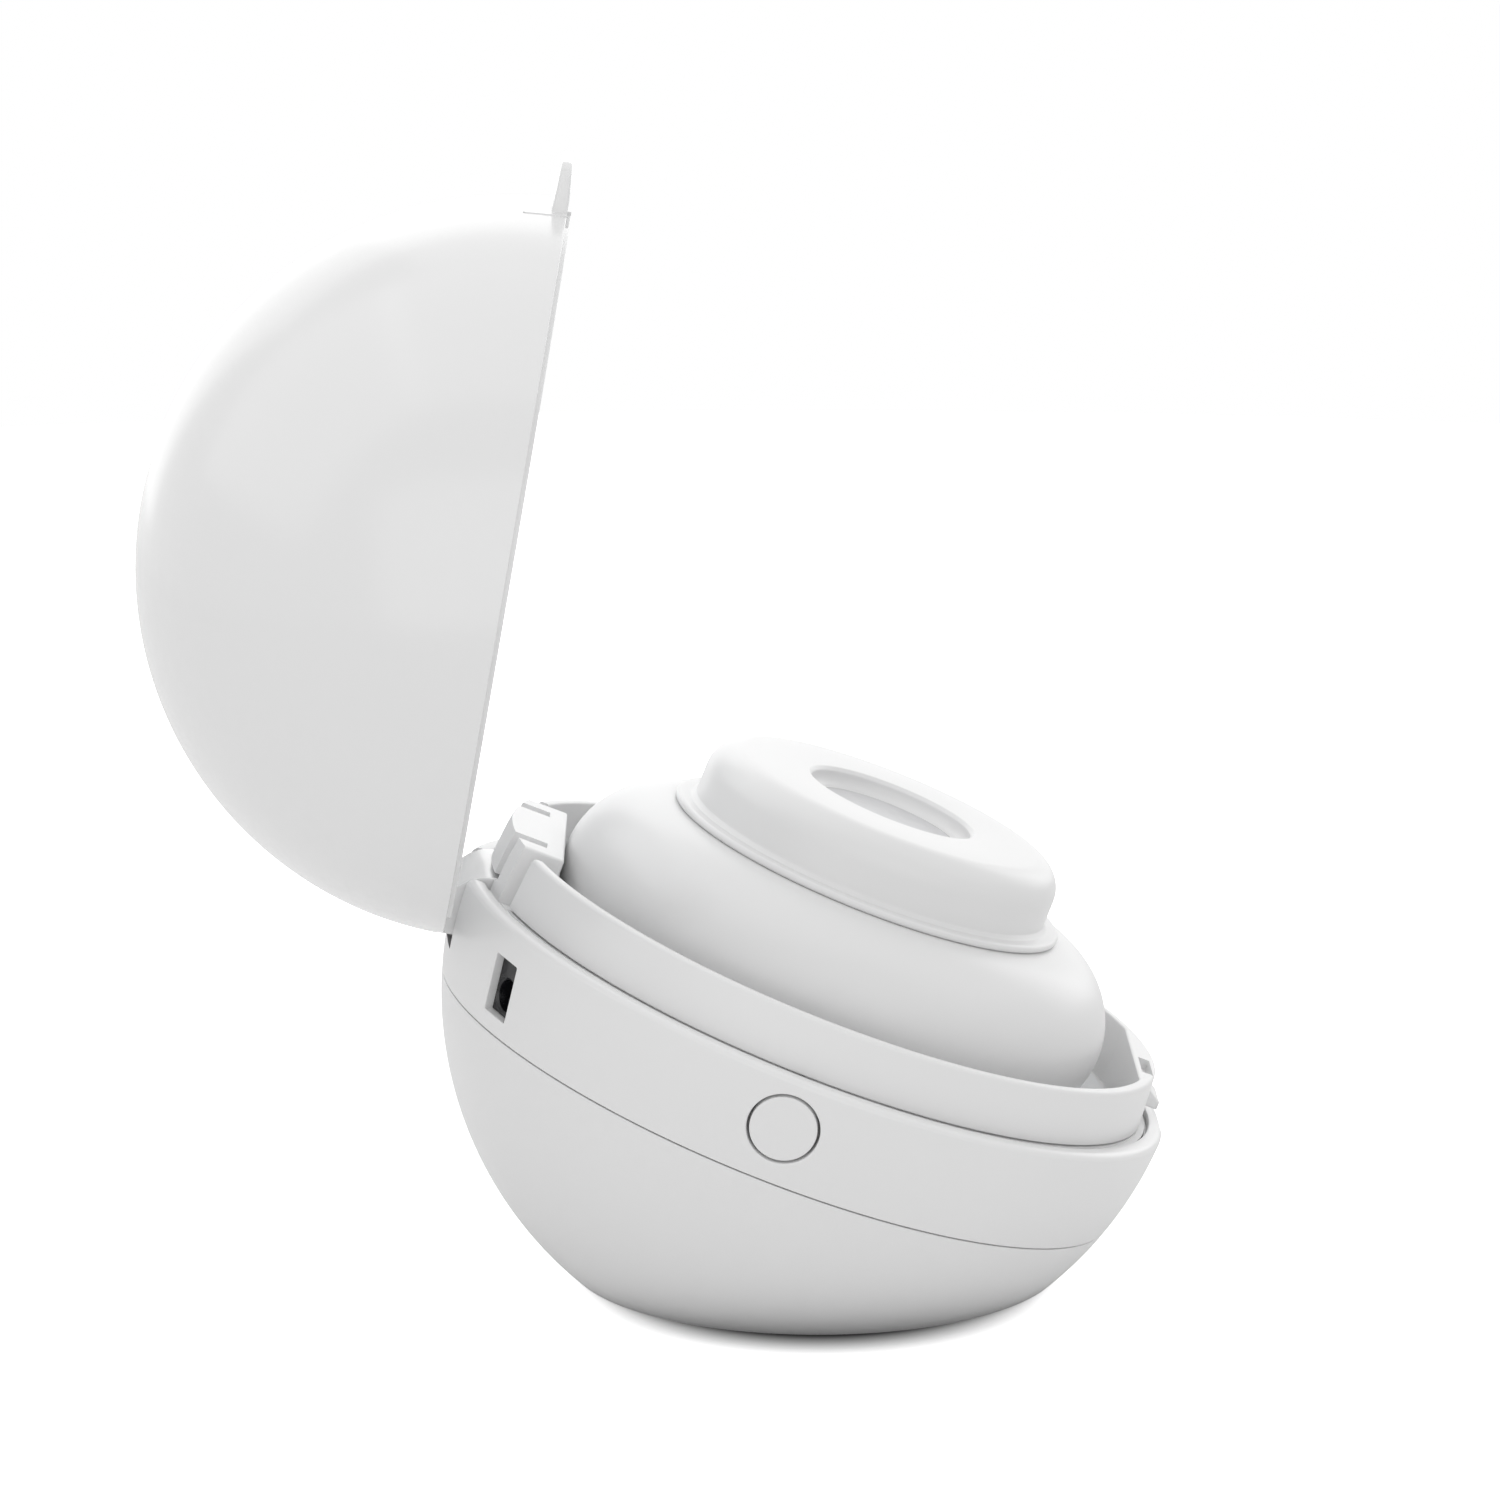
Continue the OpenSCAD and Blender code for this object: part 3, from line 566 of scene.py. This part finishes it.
def collar(finish):
    """Raised inner ring on its shelf, with the flat front wall, the housing and the nub."""
    outer_r = INNER_R - 0.1
    groove_r, groove_n = COLLAR_R - FOOT_GROOVE, COLLAR_FOOT_N - FOOT_GROOVE_H
    profile = (
        [(SHELF_R, SHELF_N), (SHELF_R, SHELF_UNDER), (outer_r, SHELF_UNDER), (outer_r, MOAT_N)]
        + [(COLLAR_R, MOAT_N), (COLLAR_R, groove_n), (groove_r, groove_n)]
        + [(groove_r, COLLAR_FOOT_N), (COLLAR_R, COLLAR_FOOT_N)]
        + arc((COLLAR_TOP_R - COLLAR_ROUND, COLLAR_H - COLLAR_ROUND), COLLAR_ROUND, 0, 90, 8)
        + arc((COLLAR_IN_R + 0.25, COLLAR_H - 0.25), 0.25, 90, 180, 4)
        + [(COLLAR_IN_R, SHELF_N)]
    )
    ring = cut(lathe(profile), slab(COLLAR_CUT_W, (BACK, -0.5), (FAR, FAR)))
    front_wall = common(
        drum(COLLAR_IN_R + 0.2, -FAR, FAR, SEGMENTS),
        slab(2 * FAR, (-FAR, SHELF_UNDER), (-CHORD_T, COLLAR_H), 0.25),
    )
    slots = [
        block((middle - SLOT_W / 2, *low), (middle + SLOT_W / 2, FAR, FAR))
        for middle in (-SLOT_PITCH / 2, SLOT_PITCH / 2)
        for low in ((HINGE_T - 3.4, HOUSING_TOP - SLOT_DEEP), (HINGE_T - 0.2, TONGUE_N - 0.3))
    ]
    roof = COLLAR_H - 1.1
    peg_x, peg_y = PEG_W / 2 + RUN + SEAT, PEG_THICK / 2 + RUN
    mesh = cut(
        joined(ring, front_wall, housing(), catch_nub()),
        placed(rod_x(POCKET_R, NOTCH_W), HINGE),
        slab(NOTCH_W, (HINGE_T - 1, HINGE_N), (FAR, TONGUE_N)),
        slab(NOTCH_W, (HINGE_T, NOTCH_N - 0.5), (FAR, HINGE_N)),
        placed(rod_x(BOSS_R + RUN, FAR), HINGE),
        slab(NOTCH_W, (HOUSING_T + HOUSING_WALL, TONGUE_N - 0.2), (HINGE_T - 0.6, roof)),
        *slots,
        block((-PEG_SIDE - peg_x, -PEG_T - peg_y, roof), (-PEG_SIDE + peg_x, -PEG_T + peg_y, FAR)),
        placed(drum(BUTTON_ROOM_R, 30, 42), BUTTON),
    )
    return piece("collar", mesh, BALL, "base", finish)


def catch_nub():
    """Sloped nub that the lid's bead snaps under."""
    root = -COLLAR_IN_R - 0.5
    side = [(root, NUB_HIGH), (-NUB_R, NUB_TIP), (-NUB_R, NUB_LOW), (root, NUB_LOW)]
    return across(soften(side, 0.2), NUB_W, 0.2)


def chamber_bowl(finish):
    """Part of a ball under the cover, with the seat of the window in its floor."""
    sphere_r = (BOWL_R**2 + BOWL_DEPTH**2) / (2 * BOWL_DEPTH)
    floor_n = BOWL_TOP - BOWL_DEPTH
    middle = floor_n + sphere_r
    out_r = sphere_r + BOWL_WALL
    pane_at = math.degrees(math.asin(WINDOW_R / sphere_r)) - 90
    hole_at = math.degrees(math.asin((WINDOW_R - 1) / out_r)) - 90
    profile = (
        arc((0, middle), sphere_r, pane_at, rise(BOWL_TOP - middle, sphere_r), 28)
        + [(BOWL_FLANGE_R, BOWL_TOP), (BOWL_FLANGE_R, SHELF_N)]
        + arc((0, middle), out_r, rise(SHELF_N - middle, out_r), hole_at, 28)
        + [(WINDOW_R - 1, floor_n), (WINDOW_R + SEAT, floor_n)]
    )
    corner = slab(HOUSING_W + 0.4, (HOUSING_T - 0.2, -FAR), (FAR, FAR))
    mesh = cut(lathe(soften(profile, 0.3)), corner)
    return piece("chamber_bowl", mesh, BALL, "base", finish)


def lid_shell(finish):
    """Half ball, open for the latch piece and raised at the hinge."""
    shell = lathe(
        soften(
            [(RING_OUT_R, RIM_GAP)]
            + arc((0, 0), LID_R, rise(RIM_GAP, LID_R), 90, 72)
            + arc((0, 0), LID_IN_R, 90, rise(RIM_GAP + RING_H, LID_IN_R), 72)
            + [(RING_OUT_R, RIM_GAP + RING_H)]
        )
    )
    mesh = cut(
        shell,
        slab(LATCH_W, (-FAR, -1), (0, RIM_GAP + LATCH_H)),
        slab(RELIEF_W, (BACK, -1), (FAR, BARREL_TOP)),
    )
    spheres = [((0, 0, 0), LID_R), ((0, 0, 0), LID_IN_R)]
    return piece("lid_shell", mesh, LID, "lid", finish, spheres)


def lid_frame(finish):
    """Ring inside the lid's rim, with the lip under it and the hinge barrel."""
    lip_in_r = COLLAR_R + RUN
    lip_out_r = lip_in_r + LIP_T
    top = RIM_GAP + RING_H
    ring = lathe(
        soften(
            [
                (RING_OUT_R, RIM_GAP),
                (RING_OUT_R, top),
                (math.sqrt(LID_IN_R**2 - top**2), top),
                (LID_IN_R, RIM_GAP + 0.6),
                (lip_in_r, RIM_GAP + 0.2),
                (lip_in_r, RIM_GAP - LIP_H),
                (lip_out_r, RIM_GAP - LIP_H),
                (lip_out_r, RIM_GAP),
            ],
            0.1,
        )
    )
    ring = cut(
        ring,
        slab(LATCH_W, (-FAR, -5), (0, 20)),
        slab(LIP_CUT_W, (BACK, -5), (FAR, RIM_GAP)),
        slab(RING_CUT_W, (BACK, -5), (FAR, RIM_GAP + 0.6)),
        slab(RELIEF_W, (BACK, -5), (FAR, BARREL_TOP)),
    )
    web = slab(BARREL_W, (HINGE_T - 0.9, HINGE_N), (FAR, BARREL_TOP), 0.2)
    barrel = joined(placed(rod_x(BARREL_R, BARREL_W, 0.3), HINGE), common(web, ball(LID_R)))
    mesh = cut(
        joined(ring, common(barrel, ball(LID_R))),
        placed(rod_x(PIN_R + PIN_FIT, BARREL_W + 2), HINGE),
    )
    return piece("lid_frame", mesh, LID, "lid", finish)


def thumb_tab(finish):
    """Tab on a piece that wraps the lid's edge, hollow for the nub and its bead."""
    out_r = LID_R + LATCH_PROUD
    tip = -LID_R - TAB_REACH
    latch = common(ball(out_r), slab(LATCH_W, (-FAR, RIM_GAP), (0, RIM_GAP + LATCH_H), 0.4))
    side = [
        (1 - LID_R, RIM_GAP + TAB_T),
        (tip, RIM_GAP + TAB_T - 0.3),
        (tip, RIM_GAP + 0.35),
        (-1 - LID_R, RIM_GAP),
        (1 - LID_R, RIM_GAP),
    ]
    plan = box_outline(TAB_W, 2 * (TAB_REACH + 1), 2)
    blade = common(
        across(soften(side, 0.5), TAB_W, 0.35),
        placed(prism(plan, -1, 5), shift(0, -LID_R + 1, 0) @ turn(90, "Z")),
    )
    bead = slab(NUB_W - 0.4, (-BALL_R, RIM_GAP - 0.01), (SNAP - NUB_R, NUB_LOW - RUN - SEAT))
    room = [
        (-CHANNEL_R, RIM_GAP - 1),
        (-CHANNEL_R, NUB_TIP + 0.3),
        (-LID_IN_R, NUB_TIP + 0.8),
        (-30, NUB_TIP + 0.8),
        (-30, RIM_GAP - 1),
    ]
    channel = cut(across(room, NUB_W + 0.8), bead)
    mesh = cut(joined(latch, blade), ball(LID_IN_R), channel)
    spheres = [((0, 0, 0), out_r), ((0, 0, 0), LID_IN_R)]
    return piece("thumb_tab", mesh, LID, "lid", finish, spheres)


def lid_reflector(finish):
    """Liner inside the top of the lid."""
    out_r = LID_IN_R - SEAT
    in_r = out_r - REFLECTOR_T
    profile = arc((0, 0), out_r, rise(REFLECTOR_N, out_r), 90, 48)
    profile += arc((0, 0), in_r, 90, rise(REFLECTOR_N, in_r), 48)
    return piece("lid_reflector", lathe(soften(profile, 0.2)), LID, "lid", finish)


def interlock_peg(finish):
    """Blade in the lid that enters the slot in the collar's front wall."""
    low = (-PEG_SIDE - PEG_W / 2, -PEG_T - PEG_THICK / 2, COLLAR_H - 0.7)
    high = (-PEG_SIDE + PEG_W / 2, -PEG_T + PEG_THICK / 2, REFLECTOR_N - 0.6)
    mesh = common(block(low, high, EDGE), ball(LID_IN_R - 0.02))
    return piece("interlock_peg", mesh, LID, "lid", finish)


def cover_dome(finish):
    """Domed cover, its side a round about the belly's height."""
    centre = (DOME_R - DOME_ROUND, DOME_BELLY)
    in_round = DOME_ROUND - DOME_WALL
    drop = DOME_FOOT - DOME_BELLY
    profile = (
        arc(centre, DOME_ROUND, rise(drop, DOME_ROUND), 90, 40)
        + [(0, DOME_TOP), (0, DOME_TOP - DOME_WALL)]
        + arc(centre, in_round, 90, rise(drop, in_round), 40)
    )
    return piece("cover_dome", lathe(soften(profile, 0.3)), BALL, "cover", finish)


def cover_cap(finish):
    """Stepped cap on the dome, with a full-round lip and a round recess."""
    lip_top = DOME_TOP + CAP_LIP_T
    floor_n = CAP_TOP - RECESS_H
    under = floor_n - CAP_WALL - INSERT_T
    seat_r = INSERT_R + SEAT
    profile = (
        [(0, floor_n - INSERT_T), (0, under), (CAP_R - CAP_ROUND - 0.5, under)]
        + [(CAP_R - CAP_WALL, CAP_TOP - CAP_ROUND - CAP_WALL), (CAP_R - CAP_WALL, DOME_TOP)]
        + [(CAP_LIP_R - 0.4, DOME_TOP)]
        + arc((CAP_LIP_R - CAP_LIP_T / 2, DOME_TOP + CAP_LIP_T / 2), CAP_LIP_T / 2, -75, 75, 8)
        + [(CAP_LIP_R - 0.4, lip_top), (CAP_R + 0.5, lip_top), (CAP_R, lip_top + 0.5)]
        + arc((CAP_R - CAP_ROUND, CAP_TOP - CAP_ROUND), CAP_ROUND, 0, 90, 14)
        + [(RECESS_R + 0.4, CAP_TOP), (RECESS_R, CAP_TOP - 0.4)]
        + arc((RECESS_R - RECESS_ROUND, floor_n + RECESS_ROUND), RECESS_ROUND, 0, -90, 8)
        + [(seat_r, floor_n), (seat_r, floor_n - INSERT_T)]
    )
    return piece("cover_cap", lathe(soften(profile, 0.25)), BALL, "cover", finish)


def cap_insert(finish):
    """Pale disc on the floor of the cap's recess."""
    low = CAP_TOP - RECESS_H - INSERT_T
    profile = soften([(0, low), (INSERT_R, low), (INSERT_R, low + INSERT_T), (0, low + INSERT_T)], 0.12)
    return piece("cap_insert", lathe(profile), BALL, "cover", finish)


def button_cap(finish):
    """Round button that follows the ball, held by its inner flange."""
    edge_z = math.sqrt(BUTTON_FACE_R**2 - BUTTON_R**2)
    face = [
        (BUTTON_R * k / 12, math.sqrt(BUTTON_FACE_R**2 - (BUTTON_R * k / 12) ** 2))
        for k in range(11, -1, -1)
    ]
    flange_r, flange_z = BUTTON_R + BUTTON_FLANGE, BUTTON_BACK + BUTTON_FLANGE_T
    profile = soften(
        [(0, BUTTON_BACK), (flange_r, BUTTON_BACK), (flange_r, flange_z)]
        + [(BUTTON_R, flange_z), (BUTTON_R, edge_z)]
        + face,
        0.2,
    )
    mesh = placed(lathe(profile, 120), BUTTON)
    return piece("button_cap", mesh, BALL, "button", finish)


def charging_inlet(finish):
    """Barrel inlet: a front in the window, a wider body behind it and the plug's hole."""
    half_h, half_w = JACK_H / 2, JACK_W / 2
    front = block((-half_h + SEAT, -half_w + SEAT, 34), (half_h - SEAT, half_w - SEAT, JACK_FACE), 0.12)
    body = block((-half_h - 0.6, -half_w - 1, 30.5), (half_h - 0.3, half_w + 1, INNER_R - 0.9), 0.2)
    bore = [(0, JACK_FACE - JACK_HOLE_L), (JACK_HOLE_R, JACK_FACE - JACK_HOLE_L)]
    bore += [(JACK_HOLE_R, JACK_FACE - 0.25), (JACK_HOLE_R + 0.3, JACK_FACE + 0.05)]
    bore += [(JACK_HOLE_R + 0.3, FAR), (0, FAR)]
    mesh = cut(joined(front, body), placed(lathe(bore, 96), shift(-JACK_HOLE_DROP, 0, 0)))
    return piece("charging_inlet", placed(mesh, JACK), BALL, "base", finish)


def inlet_contact(finish):
    """Round-ended pin in the middle of the plug's hole."""
    low = JACK_FACE - JACK_HOLE_L
    high = JACK_FACE - 1.2
    profile = [(0, low), (JACK_PIN_R, low)]
    profile += arc((0, high - JACK_PIN_R), JACK_PIN_R, 0, 90, 8)
    mesh = placed(lathe(profile, 48), JACK @ shift(-JACK_HOLE_DROP, 0, 0))
    return piece("inlet_contact", mesh, BALL, "base", finish)


# ---------- finishes ----------
WHITE = (0.80, 0.80, 0.80)


class Finish:
    """A node material on one Principled shader, built step by step."""

    def __init__(self, name, colour, roughness, **sockets):
        self.material = bpy.data.materials.new(name)
        self.material.use_nodes = True
        self.tree = self.material.node_tree
        self.shader = self.tree.nodes["Principled BSDF"]
        self.colour = (*colour, 1)
        self.roughness = roughness
        self.shader.inputs["Base Color"].default_value = self.colour
        self.shader.inputs["Roughness"].default_value = roughness
        for socket, value in sockets.items():
            self.shader.inputs[socket.replace("_", " ")].default_value = value
        self.place = self.node("ShaderNodeTexCoord").outputs["Object"]

    def node(self, kind, **settings):
        made = self.tree.nodes.new(kind)
        for name, value in settings.items():
            setattr(made, name, value)
        return made

    def noise(self, cell, detail=3.0):
        """Noise whose patches are about cell millimetres across."""
        made = self.node("ShaderNodeTexNoise")
        made.inputs["Scale"].default_value = 1 / (cell * MM)
        made.inputs["Detail"].default_value = detail
        self.tree.links.new(self.place, made.inputs["Vector"])
        return made.outputs["Fac"]

    def spread(self, value, low, high, start=0.3, end=0.7):
        """value from start to end, mapped to low to high."""
        made = self.node("ShaderNodeMapRange")
        for name, number in (("From Min", start), ("From Max", end), ("To Min", low), ("To Max", high)):
            made.inputs[name].default_value = number
        self.tree.links.new(value, made.inputs["Value"])
        return made.outputs["Result"]

    def mottle(self, cell, shade):
        """Patches of the base colour darkened to shade times itself."""
        mix = self.node("ShaderNodeMix", data_type="RGBA")
        mix.inputs["A"].default_value = self.colour
        mix.inputs["B"].default_value = (*(c * shade for c in self.colour[:3]), 1)
        self.tree.links.new(self.spread(self.noise(cell), 0, 1), mix.inputs["Factor"])
        self.tree.links.new(mix.outputs["Result"], self.shader.inputs["Base Color"])
        return self

    def uneven_gloss(self, cell, change):
        """Roughness that drifts by change either way, as on handled plastic."""
        low, high = self.roughness - change, self.roughness + change
        self.tree.links.new(self.spread(self.noise(cell, 5), low, high), self.shader.inputs["Roughness"])
        return self

    def grain(self, cell, height, strength=1.0):
        """Fine relief: cell and height in millimetres."""
        bump = self.node("ShaderNodeBump")
        bump.inputs["Strength"].default_value = strength
        bump.inputs["Distance"].default_value = height * MM
        self.tree.links.new(self.noise(cell, 2), bump.inputs["Height"])
        self.tree.links.new(bump.outputs["Normal"], self.shader.inputs["Normal"])
        return self


def gloss_white(name, roughness, coat, haze):
    """Polished white moulding."""
    made = Finish(name, WHITE, roughness, Coat_Weight=coat, Coat_Roughness=haze)
    return made.mottle(14, 0.998).uneven_gloss(12, 0.015).material


def satin_white(name, roughness, colour=WHITE):
    """White moulding without the polish."""
    made = Finish(name, colour, roughness)
    return made.mottle(14, 0.998).uneven_gloss(9, 0.015).material


def silicone():
    """Smooth soft white of the inner cover."""
    made = Finish("Cover silicone", (0.76, 0.76, 0.76), 0.32)
    return made.mottle(14, 0.997).uneven_gloss(12, 0.01).material


def plain(name, colour, roughness, cell=1.0, height=0.004, shade=0.9, **sockets):
    """Small part in one colour, its patches and grain sized by cell."""
    made = Finish(name, colour, roughness, **sockets)
    return made.mottle(cell * 4, shade).uneven_gloss(cell * 2, 0.05).grain(cell * 0.3, height).material


def quartz():
    """Clear pane over the lamps."""
    made = Finish("Quartz window", (0.96, 0.97, 0.98), 0.05, Transmission_Weight=1.0, IOR=1.46)
    return made.uneven_gloss(5, 0.03).material


def dress_node(name, finish):
    """A CAD node that keeps its shape and takes a finish."""
    mesh = FRAME["nodes"][name].data
    mesh.materials.clear()
    mesh.materials.append(finish)


# ---------- studio ----------
def camera():
    """Camera where the photograph was taken from."""
    rise_in, turn_in = math.cos(CAMERA_RISE), CAMERA_TURN
    back = Vector((-math.cos(turn_in) * rise_in, math.sin(turn_in) * rise_in, math.sin(CAMERA_RISE)))
    data = bpy.data.cameras.new("Camera")
    data.sensor_width = CAMERA_SENSOR
    data.lens = CAMERA_LENS
    data.clip_start = 0.05
    data.clip_end = 20
    made = bpy.data.objects.new("Camera", data)
    made.location = (CAMERA_TARGET + back * CAMERA_DISTANCE) * MM
    made.rotation_mode = "QUATERNION"
    made.rotation_quaternion = (-back).to_track_quat("-Z", "Y")
    bpy.context.scene.collection.objects.link(made)
    bpy.context.scene.camera = made


def lamp(name, place, size, power):
    """Soft box at place, aimed at the ball."""
    data = bpy.data.lights.new(name, "AREA")
    data.shape = "RECTANGLE"
    data.size, data.size_y = size
    data.energy = power
    made = bpy.data.objects.new(name, data)
    made.location = place
    made.rotation_mode = "QUATERNION"
    made.rotation_quaternion = (LAMP_AIM - Vector(place)).to_track_quat("-Z", "Y")
    made.visible_camera = False
    bpy.context.scene.collection.objects.link(made)


def calc(tree, operation, *values):
    """Math node on sockets or numbers."""
    made = tree.nodes.new("ShaderNodeMath")
    made.operation = operation
    for socket, value in zip(made.inputs, values):
        if isinstance(value, float):
            socket.default_value = value
        else:
            tree.links.new(value, socket)
    return made.outputs["Value"]


def shown_rays(tree):
    """1 for rays that see the background: camera, glossy and transmission rays."""
    rays = tree.nodes.new("ShaderNodeLightPath").outputs
    mirrored = calc(tree, "MAXIMUM", rays["Is Camera Ray"], rays["Is Glossy Ray"])
    return calc(tree, "MAXIMUM", mirrored, rays["Is Transmission Ray"])


def world():
    """Even light that shows as a white background."""
    made = bpy.data.worlds.new("Studio")
    made.use_nodes = True
    tree = made.node_tree
    light = tree.nodes["Background"]
    light.inputs["Color"].default_value = (1, 1, 1, 1)
    level = tree.nodes.new("ShaderNodeMapRange")
    level.inputs["To Min"].default_value = AMBIENT
    level.inputs["To Max"].default_value = 1
    tree.links.new(shown_rays(tree), level.inputs["Value"])
    tree.links.new(level.outputs["Result"], light.inputs["Strength"])
    bpy.context.scene.world = made


def painted_shadow_mask(tree):
    """Mask of the painted contact shadow: 0 within SHADE_INNER of a point under the foot, rising to 1 at
    SHADE_OUTER.
    """
    place = tree.nodes.new("ShaderNodeTexCoord")
    reach = tree.nodes.new("ShaderNodeVectorMath")
    reach.operation = "DISTANCE"
    reach.inputs[1].default_value = SHADE_CENTRE
    tree.links.new(place.outputs["Object"], reach.inputs[0])
    level = tree.nodes.new("ShaderNodeMapRange")
    level.interpolation_type = "SMOOTHSTEP"
    level.inputs["From Min"].default_value = SHADE_INNER
    level.inputs["From Max"].default_value = SHADE_OUTER
    tree.links.new(reach.outputs["Value"], level.inputs["Value"])
    return level.outputs["Result"]


def floor():
    """Pale floor that shows as the white background and keeps the shadow.

    It glows for the camera alone. By the foot its colour is darkened and its glow
    taken away: a painted contact shadow.
    """
    builder = bmesh.new()
    bmesh.ops.create_circle(builder, cap_ends=True, radius=FLOOR_R, segments=96)
    mesh = closed_mesh(builder)
    mesh.name = "floor_mesh"
    material = bpy.data.materials.new("Studio floor")
    material.use_nodes = True
    tree = material.node_tree
    paper = tree.nodes["Principled BSDF"]
    paper.inputs["Roughness"].default_value = 0.9
    paper.inputs["Specular IOR Level"].default_value = 0.0
    paper.inputs["Emission Color"].default_value = (1, 1, 1, 1)
    # painted contact shadow: the floor's colour and glow fall away under the foot
    fall = painted_shadow_mask(tree)
    tone = tree.nodes.new("ShaderNodeMix")
    tone.data_type = "RGBA"
    tone.inputs["A"].default_value = (PAINTED_SHADOW_TONE, PAINTED_SHADOW_TONE, PAINTED_SHADOW_TONE, 1)
    tone.inputs["B"].default_value = (FLOOR_TONE, FLOOR_TONE, FLOOR_TONE, 1)
    tree.links.new(fall, tone.inputs["Factor"])
    tree.links.new(tone.outputs["Result"], paper.inputs["Base Color"])
    seen = tree.nodes.new("ShaderNodeLightPath").outputs["Is Camera Ray"]
    glow = calc(tree, "MULTIPLY", seen, calc(tree, "MULTIPLY", fall, FLOOR_GLOW))
    tree.links.new(glow, paper.inputs["Emission Strength"])
    mesh.materials.append(material)
    made = bpy.data.objects.new("floor", mesh)
    bpy.context.scene.collection.objects.link(made)


def studio():
    """White room with soft boxes, at a level that shows colours as written."""
    world()
    floor()
    for name, place, size, power in LAMPS:
        lamp(name, place, size, power)
    bpy.context.scene.view_settings.view_transform = "Standard"


# ---------- the case ----------
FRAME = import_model()
camera()

base_gloss = gloss_white("Base gloss", 0.32, 0.12, 0.15)
lid_gloss = gloss_white("Lid gloss", 0.25, 0.45, 0.16)
liner_white = satin_white("Liner white", 0.3, (0.80, 0.81, 0.82))
cover_silicone = silicone()
metal = plain("Screw steel", (0.55, 0.56, 0.58), 0.3, shade=0.85, Metallic=1.0)

lower_shell(base_gloss)
foot_pad(plain("Foot rubber", (0.30, 0.31, 0.32), 0.7, cell=0.8, height=0.02))
band_shell(base_gloss)
collar(satin_white("Inner satin", 0.36))
chamber_bowl(liner_white)
lid_shell(lid_gloss)
lid_frame(lid_gloss)
thumb_tab(lid_gloss)
lid_reflector(liner_white)
interlock_peg(liner_white)
cover_dome(cover_silicone)
cover_cap(cover_silicone)
cap_insert(plain("Insert grey", (0.60, 0.60, 0.61), 0.35, cell=0.8, height=0.003, shade=0.97))
button_cap(satin_white("Button satin", 0.3))
charging_inlet(plain("Inlet black", (0.012, 0.012, 0.014), 0.3, cell=0.6, shade=0.7))
inlet_contact(metal)

dress_node("quartz_window", quartz())
dress_node("uvc_lamps", plain("Lamp ceramic", (0.75, 0.62, 0.25), 0.4))
board = plain("Board green", (0.02, 0.16, 0.06), 0.35, cell=1.5, height=0.01, shade=0.7)
dress_node("main_board", board)
dress_node("switch_board", board)
for part in ("board_screws", "deck_screws", "hinge_pin"):
    dress_node(part, metal)
dress_node("battery", plain("Battery wrap", (0.22, 0.30, 0.42), 0.25, cell=3, height=0.01))
dress_node("battery_tray", plain("Tray dark", (0.05, 0.05, 0.055), 0.5))
switch_grey = plain("Switch grey", (0.07, 0.07, 0.075), 0.45)
for part in ("push_switch", "switch_plunger", "lid_sensor"):
    dress_node(part, switch_grey)

studio()
